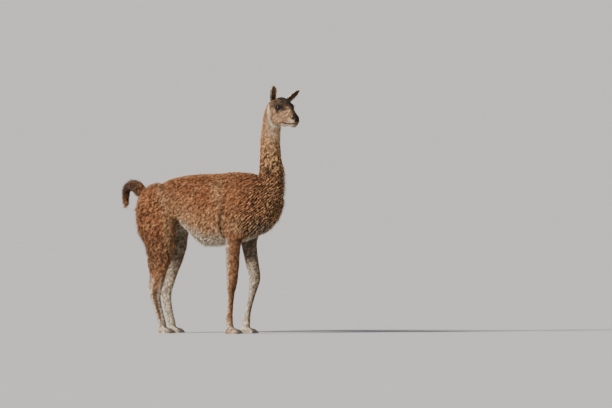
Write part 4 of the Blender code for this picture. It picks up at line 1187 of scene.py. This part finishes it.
# %% Unroll the body
def unrolled(points):
    x, y, z = points.T
    f, s, u = head_axes(points).T
    turn = lambda a, b: np.arctan2(a, b) / (2 * np.pi) + 0.5
    tail_part, near = on_tail(points)
    tail_turn = turn(TAIL_RUN[near, 1] - z, y)
    belt = np.interp(x, column(TRUNK, 0), column(TRUNK, 3))
    # Each row: which points, the rectangle on the map, how far along the part, and the turn round it.
    where = [
        (np.ones(len(points), bool), (0.00, 0.00, 1.00, 0.40), (x + 0.50) / 1.1, turn(z - belt, y)),
        ((z > 1.04) & (x > 0.33), (0.00, 0.41, 0.48, 0.24), (z - 1.0) / 0.62, turn(y, x - 0.48)),
        (tail_part > 0.5, (0.00, 0.87, 0.40, 0.12), near / len(TAIL_RUN), tail_turn),
        (on_head(points) > 0.5, (0.50, 0.41, 0.49, 0.24), (f + 0.13) / 0.29, turn(u + 0.03, s)),
    ]
    for k, (kind, side) in enumerate((("fore", -1), ("fore", 1), ("hind", -1), ("hind", 1))):
        rows = np.array(leg_rows(kind, side))[::-1]
        middle = np.interp(z, rows[:, 0], rows[:, 1])
        mine = (z < 0.60) & (np.sign(y) == side) & ((x > 0.0) == (kind == "fore"))
        where.append((mine, (0.25 * k, 0.66, 0.24, 0.20), z / 0.62, turn(y - side * 0.10, x - middle)))
    share = ear_share(points)
    for k, name in enumerate(EARS):
        _, apart, across, out = by_ear(name, points)
        mine = (share > ON_EAR) & (apart < EAR_REACH)
        where.append((mine, (0.42 + 0.29 * k, 0.87, 0.27, 0.12), share, turn(out, across)))
    flat = np.zeros((len(points), 2))
    for mine, (left, low, wide, tall), along, around in where:
        flat[mine, 0] = left + wide * np.clip(along, 0, 1)[mine]
        flat[mine, 1] = low + tall * np.clip(around, 0, 1)[mine]
    return flat


# %% Marks on the skin
def strands(points):
    """Numbers that run fast across the hair and slowly along it, for fine lines on the skin."""
    flat = unrolled(points)
    head = on_head(points) > 0.5
    round_body = np.where(head, 0.30 / 0.24, 0.16 / 0.20)
    along = np.where(head, head_axes(points)[:, 0], points[:, 2])
    return np.column_stack([flat[:, 1] * round_body * 900, along * 160, flat[:, 0] * 60])


points, ways = points_of(skin.data), points_of(skin.data, "normal")
wool_here = woolly(points, ways)
shade = {"tip": 0.42 - 0.22 * wool_here, "tone_and_shade": 0.50 - 0.15 * wool_here}
marked(skin.data, {**markings(points, ways), **shade, "strand": strands(points)})
skin.data.materials.append(skin_finish)

# %% [markdown]
# ## Tufts
# A tuft is a thin blade of three-sided rings that lies along the skin and ends in a point. One array
# sum makes thousands of them at once. In the wool, tufts lean together into locks, and the locks stand
# higher in their middles than at their edges, so the fleece has its rounded clumps.

# %% Roots spread over the skin
SEED, MOST_TUFTS = 11, 178000
SPREAD_CELL = 0.02
rng = np.random.default_rng(SEED)
points, ways = points_of(skin.data), points_of(skin.data, "normal")
corners = np.empty(len(skin.data.polygons) * 3, int)
skin.data.polygons.foreach_get("vertices", corners)
corners = corners.reshape(-1, 3)
a, b, c = points[corners[:, 0]], points[corners[:, 1]], points[corners[:, 2]]
face_middle = (a + b + c) / 3
face_area = np.linalg.norm(np.cross(b - a, c - a), axis=1) / 2
face_way = unit(ways[corners].mean(1))


def spread(weight, count):
    """Roots and normals, evenly spread for a weight on each face."""
    cell = np.floor((face_middle - points.min(0)) / SPREAD_CELL).astype(int)
    order = np.lexsort((cell[:, 0], cell[:, 1], cell[:, 2]))
    share = np.cumsum((weight * face_area)[order])
    step = share[-1] / count
    steps = (np.arange(count) + rng.random(count)) * step
    picks = order[np.searchsorted(share, steps).clip(0, len(share) - 1)]
    split = rng.random((count, 2))
    split = np.where(split.sum(1, keepdims=True) > 1, 1 - split, split)
    weights = np.column_stack([1 - split.sum(1), split])[:, :, None]
    return (points[corners[picks]] * weights).sum(1), unit((ways[corners[picks]] * weights).sum(1))


def sizes(points, ways):
    """Length, width and depth of the tufts at each point."""
    wool = woolly(points, ways)
    tail_part, near = on_tail(points)
    low = 1 - rise(points[:, 2], 0.16, 0.40)
    neck = on_neck(points)
    length = 0.0110 - 0.0030 * low + 0.019 * wool + 0.006 * neck
    width = 0.0018 - 0.0005 * low + 0.0007 * wool - 0.0003 * neck
    depth = 0.0030 - 0.0012 * low + 0.0105 * wool
    end = rise(near / len(TAIL_RUN), 0.50, 0.80)
    length += (0.009 - 0.006 * end) * tail_part
    depth -= (0.0012 + 0.0045 * end) * tail_part
    chest = rise(points[:, 0], 0.40, 0.52) * (1 - rise(points[:, 2], 1.0, 1.15)) * wool
    length += 0.010 * chest + 0.006 * rise(-points[:, 0], 0.34, 0.42) * wool
    head_part = on_head(points)
    ear_part = ear_share(points) > ON_EAR
    on_face, on_ear = (0.0060, 0.0014, 0.0009), (0.0072, 0.0012, 0.0008)
    both = zip((length, width, depth), on_face, on_ear)
    return [np.where(ear_part, ear_size, blend(size, face, head_part)) for size, face, ear_size in both]


def cover(points, ways):
    """How many tufts lie over each other."""
    wool, neck, tail_part = woolly(points, ways), on_neck(points), on_tail(points)[0]
    return 1.45 + 3.1 * wool + 3.0 * neck - 0.72 * on_head(points) + 9.0 * tail_part


length, width, depth = sizes(face_middle, face_way)
weight = cover(face_middle, face_way) / (length * width)
weight *= 1 - bare(face_middle)
weight[face_middle[:, 2] < 0.008] = 0
local = head_axes(face_middle)
on_lips = abs(local[:, 2] - mouth_height(local[:, 0])) < 0.0022
weight[on_lips & (local[:, 0] > 0.040) & (face_middle[:, 2] > HEAD_FROM)] = 0
for side in (-1, 1):
    socket = np.array(eye_place(side).translation)
    weight[np.linalg.norm(face_middle - socket, axis=1) < EYE_RADIUS + 0.0016] = 0
    weight[np.linalg.norm(local - np.array((0.1345, side * 0.0215, -0.070)), axis=1) < 0.009] = 0
expected = int((weight * face_area).sum())
print("tufts for an even cover:", expected)
roots, root_ways = spread(weight, min(expected, MOST_TUFTS))


# %% Build tufts
BAKE_PATCH = 0.003
FLOOR_CLEARANCE = 0.0008


def blade(rings):
    """One tuft: stations along it, places across it, and faces from the root to the tip."""
    if rings == 1:
        at, across = [0.0, 0.42, 0.42, 0.42, 1.0], [0.0, -1.0, 0.0, 1.0, 0.0]
        faces = [(0, 1, 2), (0, 2, 3), (0, 3, 1), (1, 4, 2), (2, 4, 3), (3, 4, 1)]
        return np.array(at), np.array(across), np.array(faces)
    steps = np.linspace(0, 1, rings + 1) ** 0.9
    at = np.append(np.repeat(steps[:-1], 3), 1.0)
    across = np.append(np.tile([-1.0, 0.0, 1.0], rings), 0.0)
    faces = [(0, 1, 2)]
    for i in range(rings - 1):
        for j in range(3):
            p, q = 3 * i + j, 3 * i + (j + 1) % 3
            faces += [(p, p + 3, q), (q, p + 3, q + 3)]
    last = 3 * (rings - 1)
    faces += [(last + j, last + 3, last + (j + 1) % 3) for j in range(3)]
    return at, across, np.array(faces)


def built(name, mine, slot, rings):
    """A mesh of the tufts that the mask picks."""
    ways, lies, count = root_ways[mine], flow[mine], int(mine.sum())
    long, wide, deep = (v[mine][:, None, None] for v in (length, width, depth))
    at, across, faces = blade(rings)
    along, over = at[None, :, None], across[None, :, None]
    lift, narrow = (
        np.interp(at, (0, 0.35, 0.7, 1), shares)[None, :, None]
        for shares in ((-0.15, 0.62, 0.88, 0.80), (0.75, 1.0, 0.72, 0.0))
    )
    ridge = (over == 0) * np.minimum(wide * 0.38, deep * 0.5) * narrow
    points = roots[mine][:, None] + lies[:, None] * long * along + lean[mine][:, None] * along**1.5
    points += ways[:, None] * (deep * lift + ridge)
    swing = sway[mine][:, None, None] * np.sin(np.pi * along * 1.25)
    points += np.cross(ways, lies)[:, None] * (over * wide / 2 * narrow + swing)
    points[:, :, 2] = np.maximum(points[:, :, 2], FLOOR_CLEARANCE)
    each = len(at)
    one = points[0][faces] - points[0].mean(0)
    if (np.cross(one[:, 0], one[:, 1]) * one[:, 2]).sum() < 0:
        faces = faces[:, ::-1]
    corners = (faces[None] + (np.arange(count) * each)[:, None, None]).reshape(-1, 3)
    mesh = bpy.data.meshes.new(name)
    mesh.vertices.add(count * each)
    mesh.vertices.foreach_set("co", points.reshape(-1).astype(np.float32))
    mesh.loops.add(corners.size)
    mesh.loops.foreach_set("vertex_index", corners.ravel().astype(np.int32))
    mesh.polygons.add(len(corners))
    mesh.polygons.foreach_set("loop_start", np.arange(0, corners.size, 3, dtype=np.int32))
    mesh.update(calc_edges=True)
    mesh.shade_smooth()
    masks = {key: np.repeat(value, each) for key, value in markings(roots[mine], ways).items()}
    masks["tip"] = np.tile(at, count)
    masks["tone_and_shade"] = np.repeat(tone_and_shade[mine], each)
    number = np.repeat(np.arange(count) * 3.7, each)
    masks["strand"] = np.column_stack([np.tile(across * 1.3, count), masks["tip"] * 1.2, number])
    marked(mesh, masks)
    patch = (np.column_stack([at, 0.5 + 0.5 * across]) - 0.5) * BAKE_PATCH
    spots = (unrolled(roots[mine])[:, None, :] + patch[None]).reshape(-1, 2)
    layer = mesh.uv_layers.new(name="OFBake")
    layer.data.foreach_set("uv", spots[corners.ravel()].ravel().astype(np.float32))
    mesh.materials.append(tuft_finish)
    mesh.transform(TO_ROW)
    placed(added(name, mesh), slot)
    print(name, count, "tufts", len(corners), "triangles")


# %% Gather the wool into locks
LOCKS, CURLS, SHORT_PATCHES = 3000, 11000, 9000


def nearest(centres, points):
    """For each point, which of the centres is nearest."""
    lookup = KDTree(len(centres))
    for i, centre in enumerate(centres):
        lookup.insert(centre, i)
    lookup.balance()
    return np.array([lookup.find(point)[1] for point in points])


flow = lie(roots, root_ways)
length, width, depth = sizes(roots, root_ways)
wool = woolly(roots, root_ways)
side = np.cross(root_ways, flow)
x, y, z = roots.T
neck_part = on_neck(roots, 1.04, 1.20) * (1 - on_head(roots))
locky = np.maximum(wool, 0.55 * neck_part)
face_wool = np.maximum(woolly(face_middle, face_way), 0.02)
lock_roots, _ = spread(face_wool, LOCKS)
curl_roots, _ = spread(face_wool, CURLS)
lock, little = nearest(lock_roots, roots), nearest(curl_roots, roots)
lean = np.zeros((len(roots), 3))
for centres, owner, across_pull, ahead_pull in (
    (lock_roots, lock, 0.18, 0.05), (curl_roots, little, 0.62, 0.30),
):
    to_lock = centres[owner] - roots
    ahead = (to_lock * flow).sum(1)[:, None] * flow
    lean += (to_lock - ahead) * across_pull + ahead * ahead_pull
lean -= root_ways * (lean * root_ways).sum(1)[:, None]
off_lock = np.clip(np.linalg.norm(lock_roots[lock] - roots, axis=1) / 0.020, 0, 1)
off_curl = np.clip(np.linalg.norm(curl_roots[little] - roots, axis=1) / 0.010, 0, 1)
curl = rng.uniform(-0.55, 0.55, len(curl_roots))[little]
swerve = length * (0.13 * rng.normal(size=len(roots)) + curl * locky)
lean = lean * locky[:, None] + side * swerve[:, None]


# %% Furrows across the wool
def saw(steps):
    """Rises slowly from 0 to 1 and drops back at once, as one row of wool lies over the next."""
    part = steps - np.floor(steps)
    return np.where(part < 0.72, part / 0.72, (1 - part) / 0.28)


wobble = 0.55 * np.sin(x * 34 + y * 22) + 0.35 * np.sin(y * 57 + z * 21)
shoulder = rise(x - 0.25 * (z - 0.9), 0.27, 0.40) * (1 - rise(z, 1.10, 1.30)) * wool
rear = rise(-x, 0.20, 0.34) * (1 - rise(z, 0.82, 1.0)) * wool
furrow = shoulder * (saw(-(z - 0.84 * (x - 0.45)) / 0.022 + wobble) - 0.55) * 0.80
furrow += rear * (saw(-(z + 0.30 * x) / 0.026 + 1.5 * wobble) - 0.55) * 0.50
curl_height = rng.normal(size=len(curl_roots))[little]
lock_height = rng.normal(size=len(lock_roots))[lock]
swell = 0.18 - 0.22 * off_lock**2 - 0.22 * off_curl**2 + 0.14 * curl_height + 0.06 * lock_height
depth = depth * (1 + locky * swell + furrow)
depth = np.maximum(depth, 0.0004) * rng.uniform(0.85, 1.15, len(roots))
length = length * rng.uniform(0.75, 1.20, len(roots))

# %% Loose strands at the edges, and the tone and painted light and shade of each tuft
tail_part, tail_near = on_tail(roots)
tail_along = tail_near / len(TAIL_RUN)
edges = wool * np.maximum.reduce([
    rise(x, 0.38, 0.52) * rise(root_ways[:, 0], 0.3, 0.8) * (1 - rise(z, 1.10, 1.25)),
    rise(-x, 0.30, 0.42) * rise(-root_ways[:, 0], 0.3, 0.8) * (1 - rise(z, 0.85, 0.98)),
])
belly = wool * rise(-root_ways[:, 2], 0.5, 0.9) * between(x, -0.12, -0.02, 0.14, 0.20)
belly *= 1 - rise(abs(y), 0.05, 0.10)
stray = np.abs(rng.normal(size=len(roots)))
lean += root_ways * (0.0105 * edges * stray + 0.0110 * belly * stray)[:, None]
length = length * (1 + 0.35 * belly)
sway = width * np.maximum(wool, tail_part) * rng.normal(size=len(roots)) * 0.7
loose = length * tail_part * (1 - 0.4 * rise(tail_along, 0.5, 0.8)) * rng.normal(size=len(roots))
lean += (side * 0.15 + root_ways * 0.14) * loose[:, None]
# Tone: random from tuft to tuft and patch to patch, darker on the tail but its end, lighter on the
# neck; and painted light and shade: lighter on raised curls and locks and at the middle of each curl,
# darker in the valleys of the furrows, and a painted light over the ears.
tone_and_shade = 0.5 + 0.10 * rng.normal(size=len(roots)) + locky * (0.15 * curl_height + 0.05 * lock_height)
tone_and_shade += 0.42 * furrow - 0.42 * tail_part * (1 - 0.7 * rise(tail_along, 0.55, 0.80))
tone_and_shade += 0.10 * locky * (0.5 - off_curl) + 0.30 * (ear_share(roots) > ON_EAR) + 0.20 * neck_part
patches = nearest(spread(np.ones(len(face_area)), SHORT_PATCHES)[0], roots)
tone_and_shade = np.clip(tone_and_shade + 0.10 * (1 - locky) * np.sin(patches * 1.7), 0, 1)

# %% Coat pieces
head_here = on_head(roots) > 0.5
ear_here = ear_share(roots) > ON_EAR
tail_here = tail_part > 0.5
leg_here = (wool < 0.30) & (z < 0.75)
neck_here = (z > 1.06) & (x > 0.33) & ~head_here
rest = ~(head_here | ear_here | tail_here | leg_here | neck_here)
# Each row: which tufts, the slot, and the number of rings in a tuft.
groups = {
    "coat_ears": (ear_here, "ear_fur", 1),
    "coat_tail": (tail_here & ~head_here & ~ear_here, "tail_wool", 2),
    "coat_forelegs": (leg_here & (x > 0.05), "leg_fur", 1),
    "coat_hindlegs": (leg_here & (x <= 0.05) & ~tail_here, "leg_fur", 1),
    "coat_neck": (neck_here & ~ear_here, "neck_wool", 2),
}
for label, half in (("right", y < 0), ("left", y >= 0)):
    groups[f"coat_head_{label}"] = (head_here & ~ear_here & half, "crown_fur", 1)
    groups[f"coat_shoulder_{label}"] = (rest & half & (x > 0.20), "body_wool", 2)
    groups[f"coat_flank_{label}"] = (rest & half & (x <= 0.20) & (x > -0.16), "body_wool", 2)
    groups[f"coat_haunch_{label}"] = (rest & half & (x <= -0.16), "body_wool", 2)
for name, group in groups.items():
    built(name, *group)

# %% [markdown]
# ## Eyes
# A guanaco's eye is large, dark and wet, with a wide level pupil in a brown iris. The eyeball is a
# shell with a slight bulge for the cornea, and the pattern is drawn from the distance to its middle.

# %% Eyes
IRIS_RADIUS, PUPIL_WIDE, PUPIL_TALL = 0.0135, 0.0078, 0.0046
CORNEA_BULGE, EYEBALL_RADIUS = 0.0007, EYE_RADIUS - 0.0002
SIDES = ((-1, "right"), (1, "left"))
eye_finish = Finish("eye", Roughness=0.09, Specular_IOR_Level=0.22)
streaks = eye_finish.noise(eye_finish.place(), 1400.0, 2.0).rise(0.35, 0.7)
iris = eye_finish.mix(streaks, (0.006, 0.003, 0.002), (0.020, 0.010, 0.005))
outside_iris = eye_finish.attribute("iris_out").rise(0.86, 1.02)
ball_colour = eye_finish.mix(outside_iris, iris, (0.012, 0.009, 0.008))
outside_pupil = eye_finish.attribute("pupil_out").rise(0.85, 1.10)
eye_finish.surface(Base_Color=eye_finish.mix(outside_pupil, (0.003, 0.003, 0.004), ball_colour))
for side, label in SIDES:
    form = bmesh.new()
    bmesh.ops.create_uvsphere(form, u_segments=64, v_segments=48, radius=EYEBALL_RADIUS)
    mesh = written(form, f"eyeball_{label}")
    local = points_of(mesh)
    reach = np.hypot(local[:, 0], local[:, 1])
    ahead = local[:, 2] > 0
    pupil_reach = np.hypot(local[:, 0] / PUPIL_WIDE, local[:, 1] / PUPIL_TALL)
    marked(mesh, {
        "iris_out": np.where(ahead, reach / IRIS_RADIUS, 2.0),
        "pupil_out": np.where(ahead, pupil_reach, 3.0),
    })
    local += unit(local) * (CORNEA_BULGE * (1 - rise(reach, 0.006, 0.014)) * ahead)[:, None]
    set_points(mesh, local)
    mesh.transform(TO_ROW @ eye_place(side))
    mesh.shade_smooth()
    mesh.materials.append(eye_finish.material)
    placed(added(f"eyeball_{label}", mesh), "eye", f"eye_{label}")

# %% [markdown]
# ## Lid edges
# The edge of an eyelid is bare, dark and moist. A thin tube runs round the almond of the opening,
# half sunk in the lid and resting on the eyeball, so no gap shows between them.

# %% Lid edges
LID_THICK, LID_THICKER_ABOVE = 0.00115, 0.0006
LID_STAND, LASH_STAND = 0.0006, 0.0012  # how far each stands off the eyeball
lid_finish = Finish("lid edge", Roughness=0.6, Specular_IOR_Level=0.15)
wrinkles = lid_finish.noise(lid_finish.place(), 600.0)
lid_finish.surface(
    Base_Color=lid_finish.mix(wrinkles, (0.006, 0.005, 0.005), (0.016, 0.013, 0.012)),
    Normal=lid_finish.bump(wrinkles, 0.0005, 0.6),
)


def on_ball(x, y, radius):
    """Points over the eye's own X and Y, on a ball of that radius."""
    return np.column_stack([x, y, np.sqrt(np.clip(radius**2 - x**2 - y**2, 0, None))])


def tube_rings(path, thickness, around=10):
    """Rings round a closed path, each with its own thickness."""
    out = unit(path)
    side = unit(np.cross(unit(np.roll(path, -1, 0) - np.roll(path, 1, 0)), out))
    turn = turns(around)
    rows = zip(path, thickness, out, side)
    return [p + t * (np.outer(np.cos(turn), o) + np.outer(np.sin(turn), s)) for p, t, o, s in rows]


for side, label in SIDES:
    x, y = lid_line(turns(72), 0.97)
    thickness = LID_THICK + LID_THICKER_ABOVE * rise(y / EYE_OPENING[1], -0.3, 0.6)
    rings = tube_rings(on_ball(x, y, EYE_RADIUS + LID_STAND), thickness)
    made = shell(f"lid_edge_{label}", rings, TO_ROW @ eye_place(side), joined=True)
    made.data.shade_smooth()
    made.data.materials.append(lid_finish.material)
    placed(made, "crown_fur")

# %% [markdown]
# ## Lashes
# Long stiff lashes shade the eye. They follow the line of a lid, so Geometry Nodes set them: a thin
# spine is placed on each point of the line, turned to that point's own direction, and made real as
# mesh.

# %% A tree that sets hairs along a line
def hair_tree(material):
    tree = bpy.data.node_groups.new("hairs on a line", "GeometryNodeTree")
    tree.is_modifier = True
    inputs = {"Geometry": "Geometry", "Length": "Float", "Thickness": "Float", "Seed": "Int"}
    for name, kind in inputs.items():
        tree.interface.new_socket(name, in_out="INPUT", socket_type="NodeSocket" + kind)
    tree.interface.new_socket("Geometry", in_out="OUTPUT", socket_type="NodeSocketGeometry")
    nodes = Nodes(tree)
    given = nodes.node("NodeGroupInput").socket.node.outputs
    line, length, thickness, seed = (Wire(nodes, given[name]) for name in inputs)
    cone = {"Vertices": 5, "Side Segments": 5, "Radius Bottom": 1.0, "Radius Top": 0.08, "Depth": 1.0}
    spine = nodes.node("GeometryNodeMeshCone", None, cone)
    size = nodes.node("ShaderNodeCombineXYZ", None, {"X": thickness, "Y": thickness, "Z": length})
    spine = nodes.node("GeometryNodeTransform", None, {"Geometry": spine, "Scale": size})
    arrows = {"data_type": "FLOAT_VECTOR"}
    way = nodes.node("GeometryNodeInputNamedAttribute", arrows, {"Name": "hair_way"})
    turn = nodes.node("FunctionNodeAlignRotationToVector", {"axis": "Z"}, {"Vector": way})
    # The random node keeps one pair of sockets for each kind of value: 2 and 3 are the plain numbers.
    least_and_most = {2: 0.7, 3: 1.15, "Seed": seed}
    share = nodes.node("FunctionNodeRandomValue", {"data_type": "FLOAT"}, least_and_most, 1)
    cloud = nodes.node("GeometryNodeMeshToPoints", None, {"Mesh": line})
    each = {"Points": cloud, "Instance": spine, "Rotation": turn, "Scale": share}
    real = nodes.node("GeometryNodeInstanceOnPoints", None, each)
    real = nodes.node("GeometryNodeRealizeInstances", None, {"Geometry": real})
    real = nodes.node("GeometryNodeSetMaterial", None, {"Geometry": real, "Material": material})
    nodes.node("NodeGroupOutput", None, {"Geometry": real})
    return tree


hair_finish = Finish("dark hair", Roughness=0.45)
speckle = hair_finish.noise(hair_finish.place(), 300.0)
hair_finish.surface(Base_Color=hair_finish.mix(speckle, (0.012, 0.009, 0.008), (0.040, 0.030, 0.024)))
hair_nodes = hair_tree(hair_finish.material)
input_keys = {
    item.name: item.identifier for item in hair_nodes.interface.items_tree if item.in_out == "INPUT"
}


def hairs(name, points, ways, slot, **inputs):
    """Hairs on points, each along its own way, as one plain mesh."""
    mesh = bpy.data.meshes.new(name)
    mesh.from_pydata([tuple(p) for p in points], [], [])
    marked(mesh, {"hair_way": ways})
    holder = added(name, mesh)
    change = holder.modifiers.new("hairs", "NODES")
    change.node_group = hair_nodes
    for key, value in inputs.items():
        change[input_keys[key]] = value
    made = applied(holder)
    made.data.shade_smooth()
    print(name, len(made.data.polygons), "faces")
    return placed(made, slot)


# %% Lashes
LASH_THICKNESS = 0.00026
# Each row: first and last angle round the eye, how many lashes, their length and their upward tilt.
LASH_ROWS = {"upper": (18, 162, 56, 0.0125, 0.30), "lower": (205, 335, 34, 0.0050, -0.35)}
for side, label in SIDES:
    to_row = np.array(TO_ROW @ eye_place(side))
    turn = to_row[:3, :3]
    for row, (first, last, count, length, tilt) in LASH_ROWS.items():
        x, y = lid_line(np.radians(np.linspace(first, last, count)))
        start = on_ball(x, y, EYE_RADIUS + LASH_STAND) @ turn.T + to_row[:3, 3]
        out = np.column_stack([x * 0.9, y * 0.6 + tilt * 0.01, np.full(count, 0.016)])
        out = unit(out + rng.normal(size=(count, 3)) * 0.0012) @ turn.T
        # The spine's middle is at its point, so the point goes a little less than half way along.
        sizes = dict(Length=length, Thickness=LASH_THICKNESS, Seed=3 + side)
        hairs(f"lashes_{row}_{label}", start + 0.45 * length * out, out, "crown_fur", **sizes)

# %% [markdown]
# ## Nails
# Guanacos walk on soft pads, and a curved nail covers only the front of each toe. The nail is a
# narrow shell with fine lines along it.

# %% Nails
nail_finish = Finish("nail", Roughness=0.42)
along_nail = nail_finish.stretched(nail_finish.place(), (120.0, 900.0, 900.0))
lines = nail_finish.noise(along_nail, 1.0)
nail_finish.surface(
    Base_Color=nail_finish.mix(lines.rise(0.3, 0.7), (0.055, 0.045, 0.037), (0.130, 0.106, 0.080)),
    Normal=nail_finish.bump(lines, 0.0004, 0.5),
)
nail_rings = [upright_ring(f, t, b, b + (t - b) * 0.4, w, 24) for f, t, b, w in curve(NAIL, 4)]
for side, label in SIDES:
    for kind in ("fore", "hind"):
        foot = toe_places(side, leg_rows(kind, side)[-1][1])
        for place, toe in zip(foot, ("inner", "outer")):
            made = shell(f"horn_{kind}_{label}_{toe}", nail_rings, TO_ROW @ place)
            made.data.shade_smooth()
            made.data.materials.append(nail_finish.material)
            placed(made, "nail", f"nail_{kind}_{label}_{toe}")

# %% [markdown]
# ## The skin in its place
# The skin stands for all the flesh of the solid model, so it replaces every node but eyes and nails.

# %% Place the skin
skin.data.transform(TO_ROW)
flesh = [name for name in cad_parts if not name.startswith(("eye", "nail"))]
placed(skin, "body_wool", *flesh)

# %% Sizes
dressed_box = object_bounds()
for axis, low, high, solid_low, solid_high in zip("xyz", *dressed_box, *solid_box):
    print(axis, round(low - solid_low, 4), round(high - solid_high, 4))
